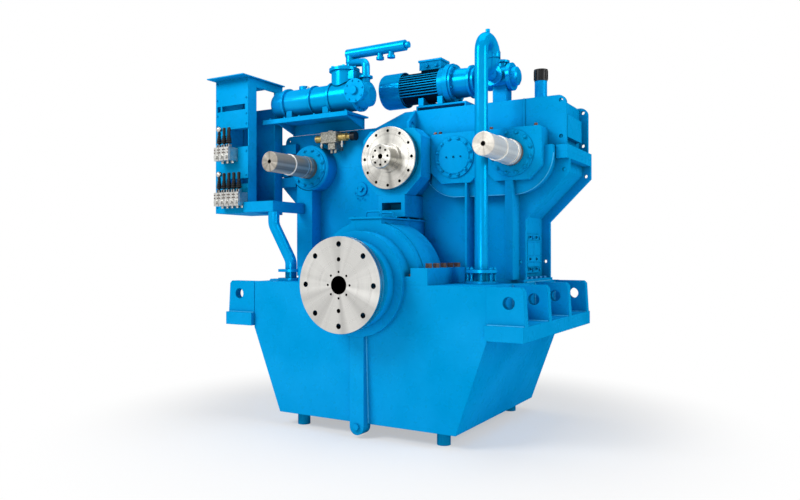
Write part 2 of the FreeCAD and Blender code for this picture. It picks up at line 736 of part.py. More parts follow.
def casing_bolts():
    """Bolts of the thrust housing and of the joint between lower and middle casing."""
    heads = []
    for side in (-1, 1):
        for number in range(5):
            spot = (side * (neck_half - wing_inset + 38), plate_inside + 60 + number * 108, foot_flange)
            heads.append(hexagon(spot, 22, 16))
    for side in (-1, 1):
        for number in range(int(float(cap_bolts))):
            spot = (side * (block_half_out - 46), hull_front + 110 + number * cap_bolt_pitch, block_high)
            heads.append(hexagon(spot, cap_bolt_radius, cap_bolt_high))
        for number in range(2):
            spot = (side * (block_half_in - 14), hull_front + 26 + number * 40, block_high / 2)
            heads.append(hexagon(spot, cap_bolt_radius / 2, cap_bolt_high / 2))
    keep(group(heads), "casing_bolts")


def inspection_lid():
    """The lid of the inspection box with its bolts and two bent wire grips."""
    lid = block((-hatch_half - lid_edge, hatch_half + lid_edge),
                (cap_front - lid_edge, hatch_rear), (hatch_top - lid_thick, hatch_top))
    heads = []
    for side in (-1, 1):
        for number in range(4):
            spot = (side * (hatch_half - 8), cap_front + 40 + number * 190, hatch_top)
            heads.append(hexagon(spot, 13, 10))
    grips = []
    for middle in (cap_front + 110, cap_front + 300):
        low = float(hatch_top)
        half = float(grab_wide) / 2
        high = low + float(grab_high)
        here = float(middle)
        points = [(-half, here, low), (-half, here, high), (half, here, high), (half, here, low)]
        grips.append(piped(points, grab_wire, [20, 20]))
    keep(fused(lid, *heads, *grips), "inspection_lid")


def output_seal_cover():
    steps = [
        (0, output_journal + seal_play),
        (0, seal_cover_radius - 25),
        (18, seal_cover_radius),
        (seal_cover_thick, seal_cover_radius),
        (seal_cover_thick, output_journal + seal_play),
    ]
    keep(turned("Y", steps, (0, boss_front - seal_cover_thick, 0)), "output_seal_cover")


def output_shaft():
    neck = output_journal + 15
    steps = [
        (0, 0), (0, flange_radius), (flange_thick, flange_radius), (flange_thick, neck),
        (boss_front - seal_cover_thick - 4, neck),
        (boss_front - seal_cover_thick - 4, output_journal),
        (collar_front, output_journal), (collar_front, collar_radius),
        (collar_front + collar_thick, collar_radius), (collar_front + collar_thick, output_journal),
        (bull_front - 30, output_journal), (bull_front - 30, output_seat + 30),
        (bull_front, output_seat + 30), (bull_front, output_seat),
        (bull_rear, output_seat), (bull_rear, output_journal),
        (shaft_end, output_journal), (shaft_end, 0),
    ]
    shaft = turned("Y", steps)
    bored(shaft, 0, output_bore, output_bore_deep)
    bored(shaft, flange_circle, flange_hole, flange_thick, flange_holes)
    bored(shaft, tap_circle, tap_hole, 40, 8)
    bored(shaft, jacking_circle, jacking_hole, flange_thick, 2)
    shaft.Label = "shaft_form"
    quarter = FreeCAD.Rotation(FreeCAD.Vector(0, 1, 0), 90)
    shaft.Placement = FreeCAD.Placement(shaft.Placement.Base, quarter)
    keep(shaft, "output_shaft")


def bull_gear():
    blank = gear(0, 0, bull_teeth, output_seat, (bull_front, bull_rear), 90)
    web = [axle(face, bull_web_out) for face in
           ((bull_front, bull_front + 45), (bull_rear - 45, bull_rear))]
    hub = [axle(face, bull_hub) for face in
           ((bull_front, bull_front + 45), (bull_rear - 45, bull_rear))]
    recess = cut(fused(*web), fused(*hub))
    holes = []
    for number in range(6):
        turn = math.radians(60 * number + 30)
        holes.append(axle((bull_front, bull_rear), bull_window,
                          bull_window_at * round(math.cos(turn), 6),
                          bull_window_at * round(math.sin(turn), 6)))
    keep(cut(blank, recess, *holes), "bull_gear")


def ring_bearing(outside, inside, start, wide, x=0, z=0):
    return cut(axle((start, start + wide), outside, x, z), axle((start, start + wide), inside, x, z))


def output_bearings():
    """Two journal bearings, and the rings before and behind the thrust collar."""
    inside = output_journal + running_play
    rings = [ring_bearing(bearing_radius, inside, start, bearing_wide)
             for start in (front_bearing, rear_bearing)]
    inside = output_journal + 20
    for start, stop in (
        (cavity_front, collar_front - face_play),
        (collar_front + collar_thick + face_play, cavity_rear),
    ):
        rings.append(cut(axle((start, stop), collar_radius + 30), axle((start, stop), inside)))
    keep(group(rings), "output_bearings")


def rear_bearing_cap():
    half = shared(axle((deck_rear, hull_rear), saddle_radius), above(0 * cap_radius))
    ears = block((-saddle_radius - 70, saddle_radius + 70), (deck_rear, hull_rear), (0 * cap_wall, cap_wall + 15))
    bore = fused(axle((deck_rear, hull_rear), output_journal + seal_play),
                 axle((rear_bearing, rear_bearing + bearing_wide), bearing_radius))
    keep(cut(fused(half, ears), bore), "rear_bearing_cap")


def output_rear_cover():
    steps = [(0, 0), (0, bearing_radius + 25), (22, bearing_radius + 25), (22, bearing_radius - 40),
             (34, bearing_radius - 60), (34, 0)]
    return turned("Y", steps, (0, hull_rear, 0))


def casing_outline(inset, low, high):
    """The upper casing across the shafts, its side walls inset from the plates' edges."""
    neck = neck_half - inset
    wing = wing_half - inset
    rise = inset * (math.sqrt(2) - 1)
    return mirrored([
        (neck, low), (neck, neck_high + rise), (wing, neck_high + rise + wing_half - neck_half),
        (wing, high),
    ])


def cover_outline(inset, drop, low):
    """The top cover across the shafts, clockwise from its lower right corner."""
    half = cover_half - inset
    return [
        (half, low), (half, cover_top - drop), (-slope_right, cover_top - drop),
        (-slope_left, cover_low_top - drop), (-half, cover_low_top - drop), (-half, low),
    ]


def row_bores():
    """Seats of the upper bearings, through both walls, and the holes of the shafts."""
    bores = []
    for name, x in row_x.items():
        bores.append(axle((row_bearing_front, row_bearing_front + upper_bearing_wide),
                          upper_bearing, x, row_height))
        bores.append(axle((row_bearing_rear, row_bearing_rear + upper_bearing_wide),
                          upper_bearing, x, row_height))
        if name != "left_idler":
            bores.append(axle((plate_front, plate_inside), shaft_bore, x, row_height))
    return bores


def row_bosses():
    bosses = []
    for x in row_x.values():
        bosses.append(axle((plate_inside, plate_inside + bearing_boss_deep), bearing_boss, x, row_height))
        bosses.append(axle((row_bearing_rear, neck_inside), bearing_boss, x, row_height))
    return bosses


def corner_holes(spots):
    return [axle((plate_front, neck_rear), corner_hole, x, z) for x, z in spots]


def middle_casing():
    split = row_height
    ends = [padded("XZ", casing_outline(0 * neck_half, 0 * neck_half, split), stretch)
            for stretch in ((plate_front, plate_inside), (neck_inside, neck_rear))]
    body = padded("XZ", casing_outline(wing_inset, 0 * neck_half, split), (plate_inside, neck_inside))
    inside = padded("XZ", casing_outline(wing_inset + casing_wall, -casing_wall, split + 1),
                    (plate_inside, neck_inside))
    deck = block((-neck_half, neck_half), (tunnel_rear, deck_rear), (0 * split, foot_flange))
    flanges = []
    for side in (-1, 1):
        flanges.append(block(span(side, wing_half - wing_inset, wing_half),
                             (plate_inside, neck_inside), (split - split_flange, split)))
        flanges.append(block(span(side, strip_from, wing_half),
                             (plate_front - strip_stand, plate_front), (split - split_flange, split)))
    bosses = shared(fused(*row_bosses()), below(split))
    hollow = cut(body, inside)
    pillar = cut(
        block((-pillar_out, -pillar_in), (housing_front, plate_front), (foot_flange, split - 120)),
        axle((housing_front, plate_front), round_housing, row_x["left_pto"], row_height),
    )
    ribs = []
    for middle, wide in ((rib_thin_at, rib_thin), (rib_wide_at, rib_wide)):
        across = (middle - wide / 2, middle + wide / 2)
        ribs.append(block(across, (housing_front, plate_front), (foot_flange, split - ledge_radius)))
        ribs.append(block(across, (housing_front, plate_front - ledge_thick),
                          (foot_flange, split - housing_drop)))
    column = cut(
        block((-column_half, column_half), (input_front, plate_front),
              (hatch_top + 17, row_height - input_drop)),
        block((-window_half, window_half), (input_front, input_front + window_deep),
              (window_low, window_low + window_high)),
    )
    solid = fused(*ends, hollow, deck, *flanges, bosses, pillar, *ribs, column)
    holes = [axle((tunnel_rear, deck_rear), arch_radius),
             block((casing_wall - neck_half + wing_inset, neck_half - casing_wall - wing_inset),
                   (plate_inside, neck_inside), (-1, foot_flange + 1))]
    holes += corner_holes([(side * across, height) for side in (-1, 1) for across, height in (
        (wing_half - corner_hole_in, neck_high + wing_half - neck_half + 25),
        (neck_half - corner_hole_in, 4 * corner_hole_in),
    )])
    keep(cut(solid, *holes, *row_bores()), "middle_casing")


def rounded(body, radius, corners):
    """Rounds the edges along Y that stand at the given places of the outline."""
    document.recompute()
    pad = body.Tip
    names = []
    for number, edge in enumerate(pad.Shape.Edges, 1):
        middle = edge.CenterOfMass
        along = abs(edge.tangentAt(edge.FirstParameter).y) > 0.99
        for x, z in corners:
            if along and abs(middle.x - float(x)) < 1 and abs(middle.z - float(z)) < 1:
                names.append(f"Edge{number}")
    fillet = body.newObject("PartDesign::Fillet", "rounded")
    fillet.Base = (pad, names)
    bind(fillet, "Radius", radius)
    body.Tip = fillet
    return body


def top_cover():
    split = row_height
    ends = []
    for stretch in ((plate_front, plate_inside), (neck_inside, neck_rear)):
        plate = padded("XZ", cover_outline(0 * split, 0 * split, split), stretch)
        ends.append(rounded(plate, cover_corner, [(cover_half, cover_top), (-cover_half, cover_low_top)]))
    body = padded("XZ", cover_outline(wing_inset, cover_drop, split), (plate_inside, neck_inside))
    inside = padded("XZ", cover_outline(wing_inset + casing_wall, cover_drop + casing_wall, split - 1),
                    (plate_inside, neck_inside))
    flanges = []
    for side in (-1, 1):
        flanges.append(block(span(side, cover_half - wing_inset, wing_half),
                             (plate_front, neck_rear), (split, split + split_flange)))
        flanges.append(block(span(side, strip_from, wing_half),
                             (plate_front - strip_stand, plate_front), (split, split + split_flange)))
    bosses = shared(fused(*row_bosses()), above(split))
    panel = padded("XZ", [
        (cover_half - wing_inset, split + 130), (cover_half - 25, split + 130),
        (cover_half - 25, cover_top - 130), (cover_half - wing_inset, cover_top - 100),
    ], (plate_inside + 90, neck_inside - 90))
    seam = block((neck_half - 18, neck_half - 2), (plate_front - 8, plate_front),
                 (split + 200, cover_top))
    eye_plate = padded("YZ", [
        (plate_front, eye_low), (plate_front, eye_low + 190),
        (plate_front - eye_stand, eye_low + 75), (plate_front - eye_stand, eye_low),
    ], (eye_x, eye_x + eye_thick))
    eye = cut(eye_plate, rod("X", (plate_front - eye_stand / 2, eye_low + 60),
                             (eye_x, eye_x + eye_thick), eye_hole))
    solid = fused(*ends, cut(body, inside), *flanges, bosses, panel, seam, eye)
    side_holes = corner_holes([
        (cover_half - corner_hole_in, cover_top - corner_hole_in),
        (cover_half - corner_hole_in, split + split_flange + 70),
        (corner_hole_in - cover_half, cover_low_top - corner_hole_in),
    ])
    keep(cut(solid, *row_bores(), *side_holes), "top_cover")


def octagon(x, half, rise, drop, low_cut, top_cut):
    """A housing's outline round a shaft of the upper row."""
    return [
        (x + half, row_height - drop + low_cut), (x + half, row_height + rise - top_cut),
        (x + half - top_cut, row_height + rise), (x - half + top_cut, row_height + rise),
        (x - half, row_height + rise - top_cut), (x - half, row_height - drop + low_cut),
        (x - half + low_cut, row_height - drop), (x + half - low_cut, row_height - drop),
    ]


def right_bearing_housing():
    idler, pto = row_x["right_idler"], row_x["right_pto"]
    ledge_front = plate_front - ledge_thick
    ledge = fused(
        axle((ledge_front, plate_front), ledge_radius, idler, row_height),
        axle((ledge_front, plate_front), ledge_radius, pto, row_height),
        block((idler, pto), (ledge_front, plate_front), (row_height - ledge_radius, row_height)),
    )
    ledge = shared(ledge, block((idler - housing_half + housing_gap, BIG), (-BIG, BIG),
                                (-BIG, row_height + split_flange)))
    boxes = [
        padded("XZ", octagon(pto, housing_half, housing_rise, housing_drop, housing_cut, 18),
               (housing_front, plate_front)),
        padded("XZ", octagon(idler + housing_gap, housing_half - housing_gap, housing_rise,
                             housing_drop, housing_cut, 18), (housing_front, plate_front)),
    ]
    bores = [
        axle((housing_front, plate_front), shaft_bore, pto, row_height),
        axle((plate_front - 60, plate_front), shaft_bore, idler, row_height),
    ]
    keep(cut(fused(ledge, *boxes), *bores), "right_bearing_housing")


def left_bearing_housing():
    x = row_x["left_pto"]
    steps = [
        (0, shaft_bore), (0, round_housing - 12), (12, round_housing),
        (plate_front - housing_front, round_housing), (plate_front - housing_front, shaft_bore),
    ]
    keep(turned("Y", steps, (x, housing_front, row_height)), "left_bearing_housing")


def input_bearing_housing():
    x = row_x["input"]
    nose = padded("XZ", octagon(x, input_half, input_rise, input_drop, input_cut, input_top_cut),
                  (input_front, housing_front - housing_gap))
    rear = padded("XZ", octagon(x, input_half - 40, input_rise, input_drop, input_cut, input_top_cut),
                  (housing_front - housing_gap, plate_front))
    bore = axle((input_front, plate_front), shaft_bore, x, row_height)
    keep(cut(fused(nose, rear), bore), "input_bearing_housing")


def cover_rings():
    rings = []
    steps = [
        (0, shaft_bore), (0, side_cover - 30), (5, side_cover - 26), (5, side_cover),
        (side_cover_thick, side_cover), (side_cover_thick, shaft_bore),
    ]
    for x in (row_x["left_pto"], row_x["right_pto"]):
        rings.append(turned("Y", steps, (x, housing_front - side_cover_thick, row_height)))
    keep(group(rings), "shaft_cover_rings")


def idler_cover():
    steps = [
        (0, 0), (0, blind_rise - 6), (6, blind_rise), (8, blind_rise), (8, blind_cover),
        (20, blind_cover), (20, 0),
    ]
    spot = (row_x["right_idler"], housing_front - 20, row_height)
    cover = turned("Y", steps, spot)
    keep(bored(cover, 0, 9, 8), "idler_cover")


def input_shaft():
    """The input shaft with its pinion cut in the solid."""
    steps = [
        (disc_face, 0), (disc_face, input_nose), (disc_face + disc_thick + 20, input_nose),
        (disc_face + disc_thick + 20, journal), (train_front, journal),
        (train_front, gear_seat), (train_rear, gear_seat), (train_rear, gear_seat + 18),
        (bull_front, gear_seat + 18), (bull_rear, gear_seat + 18), (bull_rear, journal),
        (row_shaft_end, journal), (row_shaft_end, 0),
    ]
    shaft = turned("Y", steps, (0, 0, row_height))
    pinion = gear(0, row_height, pinion_teeth, journal, (bull_front, bull_rear), -90 + tooth_half())
    drive = gear(0, row_height, pinion_teeth, journal, (train_front, train_rear), 0)
    keep(fused(shaft, pinion, drive), "input_pinion_shaft")


def tooth_half():
    return 180 / float(pinion_teeth)


def input_flange():
    steps = [
        (0, input_nose), (0, disc_radius - 4), (4, disc_radius), (disc_thick, disc_radius),
        (disc_thick, hub_radius + 45), (disc_thick + 14, hub_radius + 45),
        (disc_thick + 14, input_nose),
    ]
    disc = turned("Y", steps, (0, disc_face, row_height))
    bored(disc, disc_circle, disc_hole, disc_thick, disc_holes)
    keep(disc, "input_flange")


def input_hub():
    steps = [(0, 0), (0, hub_radius - 5), (5, hub_radius), (hub_long - 22, hub_radius),
             (hub_long - 22, hub_radius + 22), (hub_long, hub_radius + 22), (hub_long, 0)]
    hub = turned("Y", steps, (0, disc_face - hub_long, row_height))
    bored(hub, hub_circle, hub_hole, 30, 8)
    keep(bored(hub, 0, hub_bore, 60), "input_hub")


def idler_shaft(side, label):
    x = side * row_pitch
    front = row_bearing_front + 1 if side < 0 else plate_front - 30
    steps = [(front, 0), (front, journal), (row_shaft_end, journal), (row_shaft_end, 0)]
    shaft = turned("Y", steps, (x, 0, row_height))
    wheel = gear(x, row_height, pinion_teeth, journal - 5, (train_front, train_rear), tooth_half())
    keep(fused(shaft, wheel), label)


def pto_shaft(side, label):
    """A power take-off shaft with its gear: the free end steps up to the journal."""
    x = side * 2 * row_pitch
    shoulder = pto_end + pto_step_at
    steps = [
        (pto_end, 0), (pto_end, pto_radius - 5), (pto_end + 5, pto_radius),
        (shoulder, pto_radius), (shoulder, pto_step), (housing_front - 90, pto_step),
        (housing_front - 84, journal), (row_shaft_end, journal), (row_shaft_end, 0),
    ]
    shaft = turned("Y", steps, (x, 0, row_height))
    wheel = gear(x, row_height, pinion_teeth, journal - 5, (train_front, train_rear), 0)
    centre = axle((pto_end, pto_end + 45), shaft_centre_hole, x, row_height)
    keep(cut(fused(shaft, wheel), centre), label)


def upper_bearings():
    rings = [ring_bearing(upper_bearing, journal + running_play, start, upper_bearing_wide, x, row_height)
             for x in row_x.values() for start in (row_bearing_front, row_bearing_rear)]
    keep(group(rings), "upper_bearings")


def rear_covers():
    covers = [output_rear_cover()]
    for x in row_x.values():
        steps = [(0, 0), (0, rear_cover), (rear_cover_thick - 8, rear_cover),
                 (rear_cover_thick - 8, rear_cover - 40), (rear_cover_thick, rear_cover - 46),
                 (rear_cover_thick, 0)]
        covers.append(turned("Y", steps, (x, neck_rear, row_height)))
    keep(group(covers), "rear_bearing_covers")


# The electric pump set lies along X on the cover
plinth_left = size("plinth_left", -40, "left end of the pump set's plinth")
fan_at = size("fan_at", -340, "left side of the motor's fan")
bell_bore = size("bell_bore", 100, "inside radius of the housing between motor and pump")
screw_radius = size("screw_radius", 36, "pump screw")
inlet_right = size("inlet_right", 215, "pump inlet to the pump's left end")
inlet_reach = size("inlet_reach", 150, "pump inlet before the pump's axis")
manifold_left = size("manifold_left", -585, "left end of the manifold")
manifold_long = size("manifold_long", 585, "manifold")
motor_right = motor_left + cowl_long + motor_long
body_left = motor_left + cowl_long
body_right = motor_right - motor_flange_thick
bell_right = motor_right + bell_long
pump_right = bell_right + pump_long
roof = cover_top - cover_drop
plinth_top = pump_line_z - motor_flange - 8


def turned_on_pump_line(steps):
    return turned("X", steps, (0, pump_line_y, pump_line_z))


def line_rod(along, radius, y=0, z=0):
    return rod("X", (pump_line_y + y, pump_line_z + z), along, radius)


def pump_plinth():
    base = block((plinth_left, bell_right - 20), (pump_line_y - plinth_half, pump_line_y + plinth_half),
                 (roof, plinth_top))
    hollow = block((plinth_left + 14, bell_right - 34), (pump_line_y - BIG, pump_line_y + BIG),
                   (roof + 14, plinth_top - 16))
    post = block((bell_right + 190, bell_right + 310), (pump_line_y - 60, pump_line_y + 60),
                 (roof, pump_line_z - pump_radius / 2))
    post = cut(post, line_rod((bell_right, pump_right), pump_radius + 4))
    keep(group([cut(base, hollow), post]), "pump_plinth")


def motor_frame():
    fins = []
    middle = (float(fins_side) - 1) / 2
    for number in range(int(float(fins_side))):
        height = pump_line_z + (number - middle) * fin_pitch
        fins.append(block((body_left + 12, body_right - 60), (pump_line_y - BIG, pump_line_y + BIG),
                          (height - fin_thick / 2, height + fin_thick / 2)))
    finned = shared(fused(*fins), line_rod((body_left, body_right), motor_radius + fin_high))
    tube = turned_on_pump_line([
        (body_left, rotor_shaft + running_play), (body_left, motor_radius), (body_right - 60, motor_radius),
        (body_right - 60, motor_radius + fin_high - 2), (body_right, motor_radius + fin_high - 2),
        (body_right, motor_flange), (motor_right, motor_flange), (motor_right, rotor_shaft + running_play),
    ])
    feet = [block((start, start + 50), (pump_line_y - plinth_half, pump_line_y + plinth_half),
                  (plinth_top, pump_line_z - motor_radius + 20))
            for start in (plinth_left + 20, body_right - 62)]
    inside = line_rod((body_left + 20, body_right - 20), motor_bore)
    shaft_hole = line_rod((body_left, motor_right), rotor_shaft + running_play)
    pad = shared(
        block((-30, 160), (pump_line_y - 60, pump_line_y + 60),
              (pump_line_z + motor_radius - 20, pump_line_z + 2 * motor_radius)),
        line_rod((body_left, body_right), motor_radius + fin_high),
    )
    keep(cut(fused(tube, finned, pad, *feet), inside, shaft_hole), "motor_frame")


def fan_cowl():
    steps = [
        (motor_left, 95), (motor_left, cowl_radius - 30), (motor_left + 12, cowl_radius - 8),
        (motor_left + 30, cowl_radius), (body_left + 12, cowl_radius), (body_left + 12, cowl_radius - 5),
        (motor_left + 26, cowl_radius - 5), (motor_left + 5, cowl_radius - 34), (motor_left + 5, 95),
    ]
    shell = turned_on_pump_line(steps)
    spokes = [
        block((motor_left, motor_left + 5), (pump_line_y - 100, pump_line_y + 100),
              (pump_line_z + height - 5, pump_line_z + height + 5)) for height in (-66, -33, 0, 33, 66)
    ]
    grille = shared(fused(*spokes), line_rod((motor_left, motor_left + 5), 97))
    keep(fused(shell, grille), "fan_cowl")


def terminal_box():
    y = pump_line_y
    low = pump_line_z + motor_radius - 6
    box = block((-40, 170), (y - 75, y + 75), (low, low + 78))
    lid = block((-48, 178), (y - 83, y + 83), (low + 78, low + 96))
    glands = [rod("Y", (40 + 90 * number, low + 40), (y - 100, y - 75), 16) for number in range(2)]
    seat = line_rod((body_left, body_right), motor_radius + fin_high)
    keep(cut(fused(box, lid, *glands), seat), "terminal_box")


def motor_rotor():
    """Fan, rotor, coupling and the driven pump screw on one line of shafts."""
    coupling = bell_right - 40
    steps = [
        (motor_left + 40, 0), (motor_left + 40, rotor_shaft), (fan_at, rotor_shaft), (fan_at, 48),
        (fan_at + 46, 48), (fan_at + 46, rotor_shaft), (body_left + 60, rotor_shaft),
        (body_left + 60, rotor_core), (body_right - 60, rotor_core), (body_right - 60, rotor_shaft),
        (motor_right + 40, rotor_shaft), (motor_right + 40, 60), (coupling, 60), (coupling, 22),
    ]
    screw = bell_right + 40
    for number in range(6):
        start = screw + number * 40
        steps += [(start, 22), (start + 6, screw_radius), (start + 24, screw_radius), (start + 30, 22)]
    steps += [(screw + 250, 22), (screw + 250, 0)]
    rotor = turned_on_pump_line(steps)
    blades = []
    for number in range(7):
        blade = document.addObject("Part::Box", "blade")
        bind(blade, "Length", 40)
        bind(blade, "Width", 8)
        bind(blade, "Height", fan_radius)
        blade.Placement = FreeCAD.Placement(
            FreeCAD.Vector(), FreeCAD.Rotation(FreeCAD.Vector(1, 0, 0), 360 * number / 7))
        place(blade, fan_at + 3, pump_line_y, pump_line_z)
        blades.append(blade)
    keep(fused(rotor, *blades), "pump_drive_rotor")


def bell_housing():
    steps = [
        (motor_right, bell_bore), (motor_right, motor_flange - 10), (motor_right + 22, motor_flange - 10),
        (motor_right + 22, bell_radius), (bell_right - 20, bell_radius - 8),
        (bell_right - 20, bell_radius + 12), (bell_right, bell_radius + 12), (bell_right, 30),
        (bell_right - 18, 30), (bell_right - 30, bell_bore),
    ]
    keep(turned_on_pump_line(steps), "bell_housing")


def pump_body():
    steps = [
        (bell_right, 0), (bell_right, pump_radius + 26), (bell_right + 28, pump_radius + 26),
        (bell_right + 28, pump_radius - 12), (bell_right + 100, pump_radius - 6),
        (bell_right + 130, pump_radius + 4), (bell_right + 320, pump_radius + 4),
        (bell_right + 320, pump_radius + 22), (bell_right + 350, pump_radius + 22),
        (bell_right + 350, pump_radius - 10), (pump_right - 12, pump_radius - 16),
        (pump_right, pump_radius - 34), (pump_right, 0),
    ]
    body = turned_on_pump_line(steps)
    inlet = rod("Y", (bell_right + inlet_right, pump_line_z), (pump_line_y - inlet_reach, pump_line_y),
                pipe_radius + 8)
    inlet_flange = rod("Y", (bell_right + inlet_right, pump_line_z),
                       (pump_line_y - inlet_reach, pump_line_y - inlet_reach + 20), pipe_radius + 38)
    outlet = rod("Z", (bell_right + 250, pump_line_y), (pump_line_z, pump_line_z + 122), 40)
    outlet_flange = rod("Z", (bell_right + 250, pump_line_y), (pump_line_z + 122, pump_line_z + 140), 62)
    drive = line_rod((bell_right, bell_right + 300), screw_radius + 1)
    keep(cut(fused(body, inlet, inlet_flange, outlet, outlet_flange), drive), "pump_body")


def suction_pipe():
    """From the sump up to the high bend and down to the pump, with its flange and studs."""
    flange_low = pipe_flange_thick + stud_gap
    inlet_x = bell_right + inlet_right
    points = [
        (suction_x, suction_y, flange_low),
        (suction_x, suction_y, suction_top),
        (suction_x, suction_y + bend_pitch, suction_top),
        (suction_x, suction_y + bend_pitch, suction_top - 210),
        (inlet_x, pump_line_y - inlet_reach - 160, pump_line_z),
        (inlet_x, pump_line_y - inlet_reach, pump_line_z),
    ]
    half = float(bend_pitch) / 2 - 1
    pipe = piped(points, pipe_radius, [half, half, 110, 110])
    spot = (suction_x, suction_y)
    flanges = [rod("Z", spot, (low, low + pipe_flange_thick), pipe_flange)
               for low in (0 * flange_low, flange_low)]
    stub = rod("Z", spot, (0 * flange_low, flange_low + 10), pipe_radius + 6)
    studs = []
    for number in range(8):
        turn = math.radians(45 * number + 22.5)
        reach = float(pipe_flange) - 20
        away = (suction_x + round(reach * math.cos(turn), 3), suction_y + round(reach * math.sin(turn), 3))
        studs.append(rod("Z", away, (0 * flange_low, flange_low + pipe_flange_thick + 18), stud_radius))
    vent = rod("Z", (suction_x, suction_y + bend_pitch / 2),
               (suction_top + pipe_radius - 14, suction_top + pipe_radius + 26), 17)
    keep(fused(pipe, stub, vent, *flanges, *studs), "suction_pipe")


def return_pipe():
    """Oil return at the left, with its flanges on the deck."""
    y = return_y
    points = [
        (return_x, y, pipe_flange_thick), (return_x, y, 165),
        (return_top_x, y, stand_low - 110), (return_top_x, y, stand_low),
    ]
    pipe = piped(points, return_radius, [120, 120])
    flanges = [rod("Z", (return_x, y), (low, low + pipe_flange_thick), pipe_flange - 12)
               for low in (0 * return_radius, return_radius + 25)]
    keep(fused(pipe, *flanges), "return_pipe")


def breather_tube():
    spot = (breather_x, pump_line_y)
    tube = rod("Z", spot, (roof, breather_top), breather_radius)
    collar = rod("Z", spot, (roof, roof + 16), breather_radius + 26)
    keep(fused(tube, collar), "breather_tube")


def breather_cap():
    """The ribbed cap, turned off by hand."""
    spot = (breather_x, pump_line_y)
    low = breather_top + face_play
    cap = rod("Z", spot, (low, low + breather_cap_high), breather_cap_radius - 5)
    crown = rod("Z", spot, (low + breather_cap_high - 10, low + breather_cap_high),
                breather_cap_radius - 2)
    ribs = []
    for number in range(12):
        rib = document.addObject("Part::Box", "rib")
        bind(rib, "Length", breather_cap_radius)
        bind(rib, "Width", 9)
        bind(rib, "Height", breather_cap_high - 24)
        rib.Placement = FreeCAD.Placement(
            FreeCAD.Vector(), FreeCAD.Rotation(FreeCAD.Vector(0, 0, 1), 30 * number))
        place(rib, breather_x, pump_line_y, low + 12)
        ribs.append(rib)
    keep(fused(cap, crown, *ribs), "breather_cap")


def filter_vessel():
    end = filter_left + filter_long
    steps = [
        (0, 0), (0, filter_radius - 60), (18, filter_radius - 22), (48, filter_radius),
        (150, filter_radius), (150, filter_band), (150 + filter_band_wide, filter_band),
        (150 + filter_band_wide, filter_radius), (filter_long / 2, filter_radius),
        (filter_long / 2, filter_band - 4), (filter_long / 2 + 14, filter_band - 4),
        (filter_long / 2 + 14, filter_radius), (filter_long - 260, filter_radius),
        (filter_long - 260, filter_band), (filter_long - 236, filter_band),
        (filter_long - 236, filter_radius + 8), (filter_long, filter_radius + 8), (filter_long, 0),
    ]
    vessel = turned("X", steps, (filter_left, filter_y, filter_z))
    dome = rod("Z", (filter_left + 320, filter_y), (filter_z, filter_z + filter_radius + 22), 46)
    keep(fused(vessel, dome), "filter_vessel")


def filter_head():
    """Change-over head on the vessel, with its cover and a valve body at the end."""
    x = filter_left + filter_long - 150
    low = filter_z + 60
    tower = rod("Z", (x, filter_y), (low, filter_z + 215), 112)
    cover = rod("Z", (x, filter_y), (filter_z + 215, filter_z + 240), 132)
    crown = rod("Z", (x, filter_y), (filter_z + 240, filter_z + 262), 70)
    arm = block((x, x + 140), (filter_y - 72, filter_y + 72), (filter_z + 132, filter_z + 205))
    bolts = []
    for number in range(6):
        turn = math.radians(60 * number)
        spot = (x + round(112 * math.cos(turn), 3), filter_y + round(112 * math.sin(turn), 3),
                filter_z + 240)
        bolts.append(hexagon(spot, 14, 14))
    vessel = rod("X", (filter_y, filter_z), (filter_left, filter_left + filter_long), filter_band)
    keep(cut(fused(tower, cover, crown, arm, *bolts), vessel), "filter_head")


def changeover_valve():
    """Valve body at the right end of the vessel, with a round cover to the front."""
    x = filter_left + filter_long
    steps = [
        (0, 0), (0, filter_band), (24, filter_band), (24, filter_radius - 8), (110, filter_radius - 18),
        (138, filter_radius - 60), (138, 0),
    ]
    body = turned("X", steps, (x, filter_y, filter_z))
    middle = x + 70
    neck = turned("Y", [(-205, 0), (-205, 34), (-185, 34), (-185, 100), (-165, 100), (-165, 64), (-30, 64),
                        (-30, 0)], (middle, filter_y, filter_z))
    outlet = rod("Z", (middle, filter_y), (filter_z + 50, filter_z + valve_outlet), riser_radius + 2)
    keep(fused(body, neck, outlet), "changeover_valve")


def filter_tray():
    end = filter_left + filter_long
    low = filter_z - filter_band - 12 - tray_thick
    plate = block((filter_left - 30, end - 20), (filter_y - tray_half, plate_front),
                  (low, low + tray_thick))
    lip = block((filter_left - 30, end - 20), (filter_y - tray_half, filter_y - tray_half + 10),
                (low - 26, low))
    back = block((filter_left + 60, end - 60), (plate_front - 14, plate_front), (low - 90, low))
    gusset = padded("YZ", [
        (filter_y - tray_half + 40, low), (plate_front - 14, low), (plate_front - 14, low - 85),
    ], (end - 80, end - 66))
    gusset_left = padded("YZ", [
        (filter_y - tray_half + 40, low), (plate_front - 14, low), (plate_front - 14, low - 85),
    ], (filter_left + 70, filter_left + 84))
    saddles = [block((start, start + 60), (filter_y - 90, filter_y + 90),
                     (low + tray_thick, filter_z - 70)) for start in (filter_left + 190, end - 320)]
    vessel = rod("X", (filter_y, filter_z), (filter_left, end), filter_radius)
    keep(cut(fused(plate, lip, back, gusset, gusset_left, *saddles), vessel), "filter_tray")


